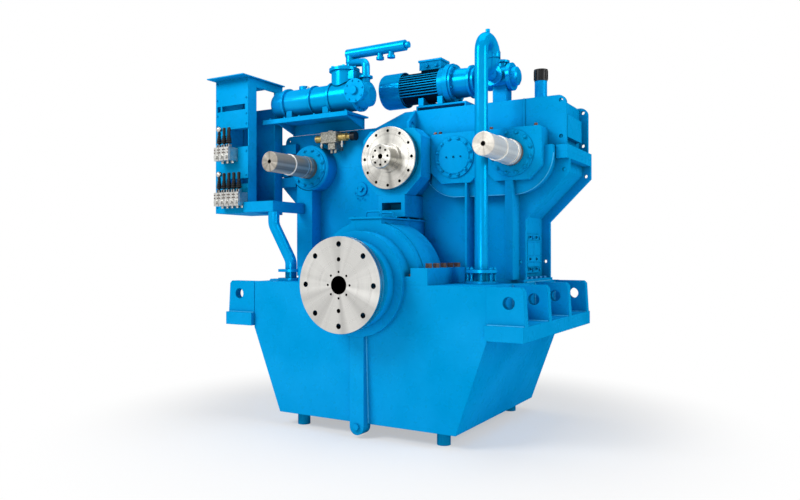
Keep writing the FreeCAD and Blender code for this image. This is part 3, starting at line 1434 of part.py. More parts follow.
def filter_manifold():
    """The manifold, the level pipe under it and the riser from the valve body."""
    left, right = manifold_left, manifold_left + manifold_long
    y = filter_y + 100
    bar = rod("X", (y, manifold_z), (left, right), manifold_radius)
    end_left = rod("Z", (left + 30, y), (manifold_z - 78, manifold_z), manifold_radius - 4)
    cap = rod("X", (y, manifold_z), (right, right + 34), manifold_radius - 18)
    nozzles = []
    for x in (right - 250, right - 140):
        nozzles.append(rod("Z", (x, y), (manifold_z - 88, manifold_z), nozzle_radius))
        nozzles.append(rod("Z", (x, y), (manifold_z - 88, manifold_z - 66), nozzle_radius + 8))
    valve_x = filter_left + filter_long + 70
    pipe = piped([
        (left + 30, y, manifold_z - 78), (valve_x, filter_y, feed_height),
        (valve_x, filter_y, filter_z + valve_outlet),
    ], riser_radius, [50])
    elbow = rod("Z", (left + 30, y), (manifold_z - 78 - riser_radius, manifold_z - 78), riser_radius + 3)
    low_flange = rod("Z", (valve_x, filter_y), (filter_z + valve_outlet, filter_z + valve_outlet + 16),
                     riser_radius + 24)
    keep(fused(bar, end_left, elbow, cap, pipe, low_flange, *nozzles), "filter_manifold")


# The control stand is a plate frame beside the wings, with two hand valve blocks
post_deep = size("post_deep", 110, "posts of the control stand")
stand_back = size("stand_back", 1000, "back of the control stand")
block_deep = size("block_deep", 118, "valve block before the stand's face")
upper_block_low = size("upper_block_low", 1040, "foot of the upper valve block")
lower_block_low = size("lower_block_low", 642, "foot of the lower valve block")
block_tall = size("block_tall", 118, "valve block")
block_left = size("block_left", -1634, "left side of both valve blocks")
fork_half = size("fork_half", 9, "half of the gap in a lever's fork")
lever_behind = size("lever_behind", 80, "lever's pivot before the stand's face")
arm_right = size("arm_right", -1180, "right end of the stand's arms")
pillar_tie = size("pillar_tie", -1010, "right end of the stand's lower beam")
unit_left = size("unit_left", -829, "left side of the pressure valve's block")
unit_long = size("unit_long", 163, "pressure valve's block")
unit_height = size("unit_height", 1248, "pressure valve above the origin")
round_cover_x = size("round_cover_x", -490, "round cover of the front plate")
lever_y = stand_front - lever_behind
lever_pivot = size("lever_pivot", 14, "lever's pivot above its valve block")
hub_gap = size("hub_gap", 0.4, "side play of a lever in its fork")


def control_stand():
    left, right, front, back = stand_left, stand_right, stand_front, stand_back
    skin = stand_sheet
    slot = (1496, 1544)
    panels = [
        block((left + 15, right), (front, front + skin), (1331, stand_top)),
        block((left + 15, right), (front, front + skin), (888, 1168)),
        block((left + 15, right), (front, front + skin), (stand_low, 840)),
        block((left + 15, left + 150), (front, front + skin), (stand_low, stand_top)),
        block((left + 15, right), (front + skin, front + 60), (1331, 1343)),
        block((left + 15, right), (front + skin, front + 60), (1156, 1168)),
    ]
    slots = [
        block((left + 34, left + 74), (front, front + skin), slot),
        block((left + 90, right - 35), (front, front + skin), slot),
    ]
    wing = block((left + 15 - skin, left + 15), (front + 30, back), (stand_low + 120, 1690))
    posts = [
        block((right - skin, right), (front + skin, front + post_deep), (stand_low, stand_top)),
        block((right - skin, right), (back - post_deep, back), (stand_low, stand_top)),
        block((left + 15, left + 15 + skin), (front + skin, front + post_deep), (stand_low, stand_top)),
        block((left + 15, left + 15 + skin), (back - post_deep, back), (stand_low, stand_top)),
    ]
    beams = []
    for low, high in ((stand_low, stand_low + 105), (stand_top - 70, stand_top)):
        beams.append(block((right - skin, right), (front + skin, back), (low, high)))
        beams.append(block((left + 15, left + 15 + skin), (front + skin, back), (low, high)))
    backing = block((left + 15, right), (back - skin, back), (stand_low, stand_top - 190))
    floor = block((left + 15, right), (front + skin, back), (stand_low, stand_low + skin))
    roof_plate = block((left - 2, right + 28), (front - 95, back), (stand_top, stand_top + 10))
    ties = [
        block((right - 30, arm_right), (plate_front - 55, plate_front), (low, low + 90))
        for low in (stand_low + 255, stand_low + 560)
    ]
    lower_beam = block((right, pillar_tie), (front - 58, front + 40), (stand_low, stand_low + 90))
    stay = block((pillar_tie - 60, pillar_tie), (front + 40, housing_front), (stand_low, stand_low + 90))
    frame = fused(*panels, wing, *posts, *beams, backing, floor, roof_plate, *ties, lower_beam, stay)
    keep(cut(frame, *slots), "control_stand")


def valve_block(label, low, sections):
    """Hand valves side by side: one body of sections with ports and lever forks."""
    body = []
    for number in range(sections):
        start = block_left + number * section_wide
        body.append(block((start + 2, start + section_wide - 2), (stand_front - block_deep, stand_front),
                          (low, low + block_tall)))
        middle = start + section_wide / 2
        body.append(rod("Y", (middle, low + 34), (stand_front - block_deep - 14, stand_front - block_deep), 17))
        body.append(rod("Z", (middle, stand_front - 34), (low - 16, low), 14))
        for side in (-1, 1):
            cheek = middle + side * (fork_half + 3)
            body.append(block((cheek - 3, cheek + 3), (lever_y - 16, lever_y + 16),
                              (low + block_tall, low + block_tall + 26)))
    tie = block((block_left, block_left + sections * section_wide),
                (stand_front - block_deep + 14, stand_front - 14), (low + 12, low + block_tall - 12))
    keep(fused(tie, *body), label)


def hand_lever(label, low, number, knob_shape):
    """A lever on its fork's axis: hub, stem and knob."""
    x = block_left + number * section_wide + section_wide / 2
    pivot = low + block_tall + lever_pivot
    hub = rod("X", (lever_y, pivot), (x - fork_half + hub_gap, x + fork_half - hub_gap), 11)
    stem = document.addObject("Part::Cone", "stem")
    bind(stem, "Radius1", lever_radius)
    bind(stem, "Radius2", lever_radius - 2)
    bind(stem, "Height", lever_long)
    place(stem, x, lever_y, pivot)
    if knob_shape == "ball":
        wide = knob_radius - 2
        steps = [(-19, 0), (-19, wide / 2), (-10, wide), (10, wide), (19, wide / 2), (19, 0)]
        knob = turned("Z", steps, (x, lever_y, pivot + lever_long))
    else:
        knob = rod("Z", (x, lever_y), (pivot + lever_long - 45, pivot + lever_long + 10), knob_radius - 9)
    keep(fused(hub, stem, knob), label)


def pressure_valve():
    """Valve unit on the front plate: a block with a round end on each side."""
    y, z = plate_front - 90, unit_height
    right = unit_left + unit_long
    body = block((unit_left, right), (y - 55, plate_front), (z - 48, z + 48))
    lower = block((unit_left + 70, right - 20), (y - 40, plate_front), (z - 105, z - 48))
    fittings = [rod("Z", (unit_left + 90 + number * 40, y - 10), (z - 137, z - 105), 14)
                for number in range(2)]
    short_coil = turned("X", [(0, 0), (0, 20), (8, 34), (90, 34), (90, 0)], (unit_left - 90, y, z))
    long_coil = turned("X", [(0, 0), (0, 34), (84, 34), (84, 24), (130, 24), (130, 40), (176, 40),
                             (176, 0)], (right, y, z))
    keep(fused(body, lower, short_coil, long_coil, *fittings), "pressure_valve")


def neck_side_cover(side, label):
    """Inspection cover on the neck's side wall with its bolts."""
    wall = neck_half - wing_inset
    middle = (plate_inside + neck_inside) / 2
    low = 70
    plate = block(span(side, wall, wall + 16), (middle - 190, middle + 190), (low, low + 310))
    rim = block(span(side, wall + 16, wall + 28), (middle - 150, middle + 150), (low + 50, low + 260))
    heads = []
    for y_step in (-165, 0, 165):
        for height in (low + 24, low + 286):
            along = span(side, wall + 16, wall + 28)
            heads.append(rod("X", (middle + y_step, height), along, 13))
    keep(fused(plate, rim, *heads), label)


def oil_gauge_cover():
    steps = [(0, 0), (0, 22), (16, 22), (16, 58), (30, 62), (30, 0)]
    keep(turned("Y", steps, (round_cover_x, plate_front - 30, 790)), "round_cover")


def build_all():
    lower_casing()
    mounting_rail(1, "mounting_rail_right")
    mounting_rail(-1, "mounting_rail_left")
    support_feet()
    drain_plug()
    thrust_bearing_cap()
    casing_bolts()
    inspection_lid()
    output_seal_cover()
    output_shaft()
    bull_gear()
    output_bearings()
    rear_bearing_cap()
    middle_casing()
    top_cover()
    right_bearing_housing()
    left_bearing_housing()
    input_bearing_housing()
    cover_rings()
    idler_cover()
    input_shaft()
    input_flange()
    input_hub()
    idler_shaft(-1, "left_idler_shaft")
    idler_shaft(1, "right_idler_shaft")
    pto_shaft(-1, "left_pto_shaft")
    pto_shaft(1, "right_pto_shaft")
    upper_bearings()
    rear_covers()
    pump_plinth()
    motor_frame()
    fan_cowl()
    terminal_box()
    motor_rotor()
    bell_housing()
    pump_body()
    suction_pipe()
    return_pipe()
    breather_tube()
    breather_cap()
    filter_vessel()
    filter_head()
    changeover_valve()
    filter_tray()
    filter_manifold()
    control_stand()
    valve_block("upper_valve_block", upper_block_low, 3)
    valve_block("lower_valve_block", lower_block_low, 5)
    for number in range(3):
        hand_lever(f"upper_lever_{number + 1}", upper_block_low, number, "ball" if number == 0 else "grip")
    for number in range(5):
        hand_lever(f"lower_lever_{number + 1}", lower_block_low, number, "ball" if number == 0 else "grip")
    pressure_valve()
    neck_side_cover(1, "right_side_cover")
    oil_gauge_cover()


def write_all():
    document.recompute()
    broken = [item.Label for item in document.Objects
              if "Invalid" in item.State or "Error" in item.State]
    broken += [item.Label for item in sub_parts if item.Shape.isNull() or not item.Shape.isValid()]
    if broken:
        raise RuntimeError("not built: " + ", ".join(broken))
    for item in sub_parts:
        item.Shape.exportStep(f"parts/{item.Label}.step")


build_all()
write_all()
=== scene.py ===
import json
import math

import bmesh
import bpy
from mathutils import Matrix, Vector


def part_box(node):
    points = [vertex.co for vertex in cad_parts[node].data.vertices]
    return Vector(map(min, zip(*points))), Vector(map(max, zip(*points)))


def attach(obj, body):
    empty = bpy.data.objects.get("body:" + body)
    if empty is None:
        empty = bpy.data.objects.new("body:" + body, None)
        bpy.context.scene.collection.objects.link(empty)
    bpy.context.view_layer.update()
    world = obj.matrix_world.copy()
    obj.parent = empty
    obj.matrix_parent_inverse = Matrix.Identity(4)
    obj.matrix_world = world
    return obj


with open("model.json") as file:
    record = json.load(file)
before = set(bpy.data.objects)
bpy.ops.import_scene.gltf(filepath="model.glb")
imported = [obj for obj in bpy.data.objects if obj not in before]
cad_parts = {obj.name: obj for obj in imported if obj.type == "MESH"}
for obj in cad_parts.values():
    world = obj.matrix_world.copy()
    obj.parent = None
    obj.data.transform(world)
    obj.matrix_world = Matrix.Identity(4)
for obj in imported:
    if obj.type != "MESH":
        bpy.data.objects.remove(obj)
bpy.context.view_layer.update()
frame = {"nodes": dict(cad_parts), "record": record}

# Places of the CAD's pieces, in mm of its frame, as in part.py.
MM = 0.001
ROW = 990
PITCH = 480
HULL_FRONT, HULL_REAR = 268, 1843
NECK_REAR = 1663
RAIL_X = 1029
PUMP_Y, PUMP_Z = 1355, 1686
FILTER_Y, FILTER_Z = 868, 1570
SUCTION_X, SUCTION_Y = 806, 692
LEVER_Y, LEVER_PIVOT = 452, 132
VALVE_LEFT, VALVE_PITCH, VALVE_FRONT = -1634, 58, 414
VALVE_ROWS = (("upper", 3, 1040), ("lower", 5, 642))
STAND_FRONT = 532
SIDES = ((-1, "left"), (1, "right"))
UP, DOWN, FRONT, BACK, RIGHT, LEFT = (0, 0, 1), (0, 0, -1), (0, -1, 0), (0, 1, 0), (1, 0, 0), (-1, 0, 0)
bpy.context.scene.view_settings.view_transform = "Standard"


def linear(colour):
    """A screen colour, 0 to 255, as the linear values that a shader takes."""
    parts = [part / 255 for part in colour]
    return tuple(p / 12.92 if p <= 0.04045 else ((p + 0.055) / 1.055) ** 2.4 for p in parts) + (1.0,)


def scaled(colour, factor):
    """The same hue, lighter or darker."""
    return tuple(factor * part for part in colour[:3]) + (1.0,)


class Paint:
    """A material with its shader, and short ways to add nodes to it."""

    def __init__(self, name, metallic, roughness):
        self.material = bpy.data.materials.new(name)
        self.material.use_nodes = True
        self.tree = self.material.node_tree
        self.shader = self.tree.nodes["Principled BSDF"]
        self.shader.inputs["Metallic"].default_value = metallic
        self.shader.inputs["Roughness"].default_value = roughness
        self.coords = self.node("ShaderNodeTexCoord").outputs["Object"]

    def node(self, kind, **settings):
        made = self.tree.nodes.new(kind)
        for name, value in settings.items():
            setattr(made, name, value)
        return made

    def link(self, source, target):
        if isinstance(source, (int, float)):
            target.default_value = source
        else:
            self.tree.links.new(source, target)

    def math(self, operation, *values):
        made = self.node("ShaderNodeMath", operation=operation)
        for number, value in enumerate(values):
            self.link(value, made.inputs[number])
        return made.outputs[0]

    def noise(self, scale, detail=4, stretch=None, vector=None):
        made = self.node("ShaderNodeTexNoise")
        made.inputs["Scale"].default_value = scale
        made.inputs["Detail"].default_value = detail
        source = vector or self.coords
        if stretch:
            mapping = self.node("ShaderNodeMapping")
            mapping.inputs["Scale"].default_value = stretch
            self.link(source, mapping.inputs["Vector"])
            source = mapping.outputs[0]
        self.link(source, made.inputs["Vector"])
        return made.outputs["Fac"]

    def ramp(self, value, low, high, first, second):
        """Goes from the first colour at low to the second at high."""
        made = self.node("ShaderNodeValToRGB")
        made.color_ramp.elements[0].position = low
        made.color_ramp.elements[1].position = high
        made.color_ramp.elements[0].color = first
        made.color_ramp.elements[1].color = second
        self.link(value, made.inputs[0])
        return made.outputs[0]

    def mix(self, factor, first, second):
        made = self.node("ShaderNodeMix", data_type="RGBA")
        self.link(factor, made.inputs["Factor"])
        for socket, value in ((made.inputs[6], first), (made.inputs[7], second)):
            if isinstance(value, tuple):
                socket.default_value = value
            else:
                self.link(value, socket)
        return made.outputs[2]

    def between(self, value, low, high, first, second):
        made = self.node("ShaderNodeMapRange")
        ends = (("From Min", low), ("From Max", high), ("To Min", first), ("To Max", second))
        for name, number in ends:
            made.inputs[name].default_value = number
        self.link(value, made.inputs["Value"])
        return made.outputs[0]

    def axes(self):
        made = self.node("ShaderNodeSeparateXYZ")
        self.link(self.coords, made.inputs[0])
        return made.outputs

    def away(self, across, up):
        """How far a point is from the axis at 0, 0."""
        squares = [self.math("MULTIPLY", value, value) for value in (across, up)]
        return self.math("SQRT", self.math("ADD", *squares))

    def bump(self, height, strength, distance, edge=0.0):
        """Fine relief, with edges rounded for the light only."""
        made = self.node("ShaderNodeBump")
        made.inputs["Strength"].default_value = strength
        made.inputs["Distance"].default_value = distance
        self.link(height, made.inputs["Height"])
        if edge:
            bevel = self.node("ShaderNodeBevel", samples=4)
            bevel.inputs["Radius"].default_value = edge
            self.link(bevel.outputs[0], made.inputs["Normal"])
        self.link(made.outputs[0], self.shader.inputs["Normal"])

    def colour(self, source):
        self.link(source, self.shader.inputs["Base Color"])


def blue_paint(name="blue_paint", tone=(0, 161, 228), edge=0.005, grooves=None,
               shine=0.11, dull=0.24):
    """Sprayed enamel: small waves, patches a little lighter or duller, and painted shade in corners.

    Grooves are the centre (y, z) of ribs along X, the radius below which the paint between them is
    darkened as painted shade, and where along X that starts and stops.
    """
    paint = Paint(name, shine, dull)
    patches = paint.noise(2.2, 5)
    base = linear(tone)
    light = tuple(min(1.0, 1.05 * part + 0.004) for part in base[:3]) + (1.0,)
    colour = paint.ramp(patches, 0.35, 0.68, scaled(base, 0.93), light)
    # Painted shade: ambient occlusion darkens the colour in corners and recesses, where shade falls.
    corners = paint.node("ShaderNodeAmbientOcclusion", samples=8)
    corners.inputs["Distance"].default_value = 0.16
    painted_corner_shade = scaled(linear((0, 152, 202)), 0.58)
    colour = paint.mix(paint.between(corners.outputs["AO"], 0.2, 0.85, 0.0, 1.0), painted_corner_shade, colour)
    if grooves:
        y, z, depth, start, stop = grooves
        parts = paint.axes()
        away = paint.away(paint.math("SUBTRACT", parts[1], y), paint.math("SUBTRACT", parts[2], z))
        along = paint.math("MULTIPLY", paint.math("GREATER_THAN", parts[0], start),
                           paint.math("LESS_THAN", parts[0], stop))
        low = paint.math("MULTIPLY", paint.math("LESS_THAN", away, depth), along)
        # Painted shade: the paint between the ribs is made dark below the given radius.
        colour = paint.mix(low, colour, linear((8, 38, 58)))
    paint.colour(colour)
    paint.link(paint.between(paint.noise(14, 3), 0.3, 0.7, dull, dull + 0.12),
               paint.shader.inputs["Roughness"])
    paint.shader.inputs["Specular IOR Level"].default_value = 0.0
    paint.shader.inputs["Specular Tint"].default_value = (0.25, 0.62, 1.0, 1.0)
    paint.bump(paint.noise(160, 2), 0.12, 0.0006, edge)
    return paint.material


def hole_mask(paint, across, up, rings):
    """The distance from the axis, and 1 inside the round holes of each ring, 0 elsewhere."""
    radius = paint.away(across, up)
    angle = paint.math("ARCTAN2", up, across)
    inside = None
    for circle, count, turn, hole in rings:
        if count:
            step = 2 * math.pi / count
            shifted = paint.math("SUBTRACT", angle, turn)
            nearest = paint.math("ROUND", paint.math("DIVIDE", shifted, step))
            whole = paint.math("MULTIPLY", nearest, step)
            off = paint.math("SUBTRACT", shifted, whole)
            side = paint.math("MULTIPLY", radius, paint.math("SINE", off))
            outward = paint.math("MULTIPLY", radius, paint.math("COSINE", off))
            away = paint.away(side, paint.math("SUBTRACT", outward, circle))
        else:
            away = radius
        here = paint.math("LESS_THAN", away, hole)
        inside = here if inside is None else paint.math("MAXIMUM", inside, here)
    return radius, inside


def turned_steel(name, x, z, rings, base, bands=(), shade=1.0, roughness=0.3, metallic=1.0,
                 painted_sheen_depth=0.7):
    """Steel turned on an axis along Y: fine rings, holes painted dark as shade, and bands along the
    barrel.

    The last argument is how dark the dull sectors get beside the bright ones; both sectors are a painted
    reflection, set by the angle around the axis.
    """
    steel = Paint(name, metallic, roughness)
    parts = steel.axes()
    across = steel.math("SUBTRACT", parts[0], x)
    up = steel.math("SUBTRACT", parts[2], z)
    radius, painted_hole_shade = hole_mask(steel, across, up, rings)
    line = steel.node("ShaderNodeCombineXYZ")
    steel.link(radius, line.inputs[0])
    steel.link(parts[1], line.inputs[1])
    fine = steel.noise(420, 3, vector=line.outputs[0])
    wide = steel.noise(38, 3, vector=line.outputs[0])
    light = scaled(linear(base), shade)
    colour = steel.mix(steel.between(fine, 0.3, 0.7, 0.0, 1.0), scaled(light, 0.74), light)
    heading = steel.node("ShaderNodeCombineXYZ")
    steel.link(steel.math("DIVIDE", across, radius), heading.inputs[0])
    steel.link(steel.math("DIVIDE", up, radius), heading.inputs[1])
    # Painted reflection: bright and dull sectors around the axis stand in for the highlights of a turned
    # face.
    painted_sector = steel.between(steel.noise(1.9, 3, vector=heading.outputs[0]), 0.4, 0.62, 0.0, 1.0)
    colour = steel.mix(painted_sector, colour, steel.mix(0.6, colour, scaled(light, painted_sheen_depth * painted_sheen_depth)))
    for start, stop, tone in bands:
        here = steel.math("MULTIPLY", steel.math("GREATER_THAN", parts[1], start),
                          steel.math("LESS_THAN", parts[1], stop))
        colour = steel.mix(here, colour, linear(tone))
    # Painted shade: the holes are coloured near black.
    steel.colour(steel.mix(painted_hole_shade, colour, linear((14, 14, 15))))
    steel.link(steel.between(wide, 0.3, 0.7, roughness - 0.06, roughness + 0.08),
               steel.shader.inputs["Roughness"])
    steel.shader.inputs["Anisotropic"].default_value = 0.72
    tangent = steel.node("ShaderNodeTangent", direction_type="RADIAL", axis="Y")
    steel.link(tangent.outputs[0], steel.shader.inputs["Tangent"])
    steel.bump(fine, 0.16, 0.0003, 0.0015)
    return steel.material


def plain_metal(name, base, roughness, speck=90, strength=0.2):
    """Bare metal with duller specks."""
    metal = Paint(name, 1.0, roughness)
    light = linear(base)
    metal.colour(metal.ramp(metal.noise(speck, 5), 0.32, 0.66, scaled(light, 0.62), light))
    metal.link(metal.between(metal.noise(30, 3), 0.3, 0.7, roughness - 0.08, roughness + 0.1),
               metal.shader.inputs["Roughness"])
    metal.bump(metal.noise(speck * 5, 3), strength, 0.0006, 0.001)
    return metal.material


def bolt_steel(name, base, painted_from):
    """Blackened heads, and painted ones further out than the given distance."""
    metal = Paint(name, 0.0, 0.4)
    heads = linear(base)
    bare = metal.ramp(metal.noise(60, 5), 0.32, 0.66, scaled(heads, 0.5), heads)
    painted = metal.math("GREATER_THAN", metal.math("ABSOLUTE", metal.axes()[0]), painted_from)
    metal.colour(metal.mix(painted, bare, linear((0, 150, 216))))
    metal.bump(metal.noise(300, 3), 0.2, 0.0006, 0.001)
    return metal.material


def black_plastic(name, tone=(26, 27, 29), ball_above=None):
    """Moulded grip, with a bright ball above the given height."""
    grip = Paint(name, 0.0, 0.38)
    base = linear(tone)
    colour = grip.ramp(grip.noise(60, 4), 0.35, 0.7, base, scaled(base, 1.8))
    if ball_above is not None:
        bright = grip.math("GREATER_THAN", grip.axes()[2], ball_above)
        colour = grip.mix(bright, colour, linear((196, 197, 200)))
        grip.link(bright, grip.shader.inputs["Metallic"])
    grip.colour(colour)
    grip.shader.inputs["Specular IOR Level"].default_value = 0.3
    grip.bump(grip.noise(900, 2), 0.15, 0.0002, 0.001)
    return grip.material


def valve_metal(name):
    """Zinc plated block. The pressure valve's round ends are brass, and its right tip is black."""
    brass_left, brass_right, black_right = -0.83, -0.664, -0.536
    metal = Paint(name, 0.5, 0.34)
    x = metal.axes()[0]
    ends = metal.math("MAXIMUM", metal.math("LESS_THAN", x, brass_left),
                      metal.math("GREATER_THAN", x, brass_right))
    tip = metal.math("GREATER_THAN", x, black_right)
    zinc = metal.ramp(metal.noise(70, 4), 0.3, 0.7, linear((96, 94, 86)), linear((172, 170, 158)))
    brass = metal.ramp(metal.noise(50, 4), 0.3, 0.7, linear((160, 130, 66)), linear((226, 200, 120)))
    both = metal.mix(ends, zinc, brass)
    metal.colour(metal.mix(tip, both, linear((30, 30, 32))))
    metal.bump(metal.noise(400, 3), 0.12, 0.0004, 0.0015)
    return metal.material


blue = blue_paint()
pipe_blue = blue_paint("pipe_blue", (0, 160, 226), 0.002, shine=0.34, dull=0.15)
# A lighter blue for weld beads and ledge lines: a painted highlight along those edges.
painted_highlight_blue = blue_paint("painted_highlight_blue", (70, 190, 242), 0.001)
motor_blue = blue_paint("motor_blue", grooves=(1.355, 1.686, 0.151, -0.20, 0.16), shine=0.2)
aluminium = plain_metal("cast_aluminium", (206, 206, 202), 0.36, 120, 0.3)
casing_bolt = bolt_steel("casing_bolt", (84, 52, 36), 0.8)
dark_bolt = plain_metal("dark_bolt", (92, 66, 52), 0.42, 60, 0.3)
bearing = plain_metal("bearing_metal", (196, 190, 180), 0.3, 80, 0.15)
bright_screw = plain_metal("bright_screw", (190, 190, 186), 0.3, 70, 0.2)
ball_steel = plain_metal("ball_steel", (206, 200, 192), 0.14, 40, 0.02)
rubber = black_plastic("black_rubber", (15, 15, 16))
output_steel = turned_steel("output_steel", 0.0, 0.0, [
    (0.295, 8, 0.0, 0.0205), (0.095, 8, 0.0, 0.009), (0.185, 2, math.pi / 2, 0.016), (0, 0, 0, 0.067),
], (226, 225, 221), [(0.026, 0.031, (60, 60, 60)), (0.060, 0.30, (120, 112, 100))])
input_steel = turned_steel("input_steel", 0.0, ROW * MM, [
    (0.218, 12, 0.0, 0.0125), (0.066, 8, 0.0, 0.010), (0, 0, 0, 0.021),
], (212, 210, 203), [(0.700, 0.705, (70, 68, 64)), (0.7195, 0.80, (110, 96, 84))], painted_sheen_depth=0.5)
SHAFT_BANDS = [(0.616, 0.624, (245, 244, 240)), (0.788, 0.794, (240, 238, 232)),
               (0.86, 0.90, (150, 118, 92))]
# The two power take-off shafts are one steel: the left copy is painted darker as painted shade, the
# right one lighter as painted light.
left_steel_painted_shade = turned_steel("left_shaft_steel", -2 * PITCH * MM, ROW * MM, [(0, 0, 0, 0.018)],
                          (212, 204, 190), SHAFT_BANDS, 0.74, 0.34, 0.3, 0.3)
right_steel_painted_light = turned_steel("right_shaft_steel", 2 * PITCH * MM, ROW * MM, [(0, 0, 0, 0.018)],
                           (250, 244, 232), SHAFT_BANDS, 1.0, 0.34, 0.22, 0.7)
inner_steel = plain_metal("inner_steel", (170, 170, 168), 0.35, 60, 0.2)
zinc = valve_metal("valve_metal")
upper_ball = black_plastic("upper_ball_lever", (26, 27, 29), 1.295)
lower_ball = black_plastic("lower_ball_lever", (26, 27, 29), 0.897)
grip = black_plastic("lever_grip")

BY_SLOT = {
    "blue_paint": blue, "machined_steel": inner_steel, "dark_steel": dark_bolt, "bearing_metal": bearing,
    "aluminium": aluminium, "zinc": zinc, "black_plastic": grip,
}
BY_NODE = {
    "output_shaft": output_steel, "input_flange": input_steel, "input_hub": input_steel,
    "left_pto_shaft": left_steel_painted_shade, "right_pto_shaft": right_steel_painted_light,
    "upper_lever_1": upper_ball, "lower_lever_1": lower_ball, "breather_cap": rubber,
    "suction_pipe": pipe_blue, "return_pipe": pipe_blue, "filter_manifold": pipe_blue,
    "filter_vessel": pipe_blue, "filter_head": pipe_blue, "fan_cowl": pipe_blue,
    "bell_housing": pipe_blue, "pump_body": pipe_blue, "drain_plug": blue,
    "casing_bolts": casing_bolt, "motor_frame": motor_blue,
}
for part in frame["record"]["subparts"]:
    thing = frame["nodes"][part["node"]]
    chosen = BY_NODE.get(part["node"]) or BY_SLOT[part["material_slot"]]
    thing.data.materials.clear()
    thing.data.materials.append(chosen)


def piece(name, mesh, material, body="gearbox", smooth=True):
    """A detail that rides on a body, with the given material."""
    mesh.normal_update()
    data = bpy.data.meshes.new(name)
    mesh.to_mesh(data)
    mesh.free()
    data.materials.append(material)
    thing = bpy.data.objects.new(name, data)
    bpy.context.scene.collection.objects.link(thing)
    if smooth:
        for face in data.polygons:
            face.use_smooth = True
        data.set_sharp_from_angle(angle=math.radians(35))
    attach(thing, body)
    return thing


def ring_of(mesh, sides, radius, height, turn, frame_of):
    made = []
    for number in range(sides):
        angle = turn + 2 * math.pi * number / sides
        spot = Vector((radius * math.cos(angle), radius * math.sin(angle), height))
        made.append(mesh.verts.new(frame_of @ spot))
    return made


def skin(mesh, rings):
    """Joins rings of corners to one closed form."""
    sides = len(rings[0])
    for low, high in zip(rings, rings[1:]):
        for number in range(sides):
            after = (number + 1) % sides
            mesh.faces.new((low[number], low[after], high[after], high[number]))
    mesh.faces.new(list(reversed(rings[0])))
    mesh.faces.new(rings[-1])


def lathe(mesh, profile, frame_of, sides=32, turn=0.0):
    """Adds a turned form: (radius, height) steps in mm, closed at both ends."""
    skin(mesh, [ring_of(mesh, sides, MM * radius, MM * height, turn, frame_of)
                for radius, height in profile])


def facing(spot, direction, turn=0.0):
    """The frame of a form that stands at a spot, in mm, and points along a direction."""
    lean = Vector((0, 0, 1)).rotation_difference(Vector(direction)).to_matrix().to_4x4()
    return Matrix.Translation(MM * Vector(spot)) @ lean @ Matrix.Rotation(turn, 4, "Z")


def bolts(name, spots, direction, radius, material=None, washer=True):
    """Hex heads, each on its washer, with the chamfered rim of a real head."""
    mesh = bmesh.new()
    for number, spot in enumerate(spots):
        here = facing(spot, direction, 0.37 * number)
        base = 0.0
        if washer:
            disc = [(1.55 * radius, 0), (1.55 * radius, 0.22 * radius), (1.4 * radius, 0.3 * radius)]
            lathe(mesh, disc, here, 20)
            base = 0.3 * radius
        head = [(radius, base), (radius, base + 0.95 * radius), (0.86 * radius, base + 1.15 * radius)]
        lathe(mesh, head, here, 6)
    return piece(name, mesh, material or blue)


def around(x, y, z, radius, count, start=0.0):
    """Spots on a circle that faces along Y."""
    return [(x + radius * math.cos(start + 2 * math.pi * n / count), y,
             z + radius * math.sin(start + 2 * math.pi * n / count)) for n in range(count)]


def between_spots(first, last, count):
    return [tuple(a + (b - a) * n / (count - 1) for a, b in zip(first, last)) for n in range(count)]


BEAD_STEP = 0.014


def seams(name, lines, radius=6, ripple=0.10, material=None):
    """Fillet welds: low rippled beads along lines of points. Without ripple they are plain bars."""
    mesh = bmesh.new()
    for line in lines:
        for first, last in zip(line, line[1:]):
            first, last = MM * Vector(first), MM * Vector(last)
            long = (last - first).length
            steps = max(2, int(long / BEAD_STEP))
            here = Vector((0, 0, 1)).rotation_difference(last - first).to_matrix().to_4x4()
            rings = []
            for step in range(steps + 1):
                place = Matrix.Translation(first.lerp(last, step / steps)) @ here
                swell = 1.0 + ripple * (step % 2)
                rings.append(ring_of(mesh, 8, MM * radius * swell, 0.0, 0.0, place))
            skin(mesh, rings)
    return piece(name, mesh, material or blue)


def arc(x, y, z, radius, start, stop, count=24):
    return [(x + radius * math.cos(math.radians(start + (stop - start) * n / count)), y,
             z + radius * math.sin(math.radians(start + (stop - start) * n / count)))
            for n in range(count + 1)]


def front_of(node):
    return 1000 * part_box(node)[0][1]


ring_front = front_of("shaft_cover_rings")
idler_front = front_of("idler_cover")
for side, label in SIDES:
    bolts(f"{label}_ring_bolts", around(side * 2 * PITCH, ring_front, ROW, 156, 12, 0.26), FRONT, 10)
bolts("idler_cover_bolts", around(PITCH, idler_front, ROW, 146, 12, 0.26), FRONT, 9)
for side, label in SIDES:
    lines = []
    for number in range(4):
        for y in (263 + 488 * number, 325 + 488 * number):
            if y > 280:
                lines.append([(side * (RAIL_X + 2), y, -4), (side * (RAIL_X + 2), y, -256)])
            lines.append([(side * (RAIL_X + 6), y, -258), (side * (RAIL_X + 270), y, -258)])
    seams(f"{label}_rail_seams", lines, 5, material=painted_highlight_blue)
seams("hull_seams", [
    [(-62, HULL_FRONT, -330), (-62, HULL_FRONT, -377), (-62, 297, -1040)],
    [(62, HULL_FRONT, -330), (62, HULL_FRONT, -377), (62, 297, -1040)],
    [(-1020, 1048, 2), (-300, 1048, 2)], [(300, 1048, 2), (1020, 1048, 2)],
    [(1022, 1060, 2), (1022, 1650, 2)],
], 6, material=painted_highlight_blue)
bolts("split_flange_bolts", between_spots((1322, 1120, ROW + 51), (1322, 1600, ROW + 51), 6), UP, 13)
dark_blue = blue_paint("shaded_paint", (2, 70, 108), 0.001)


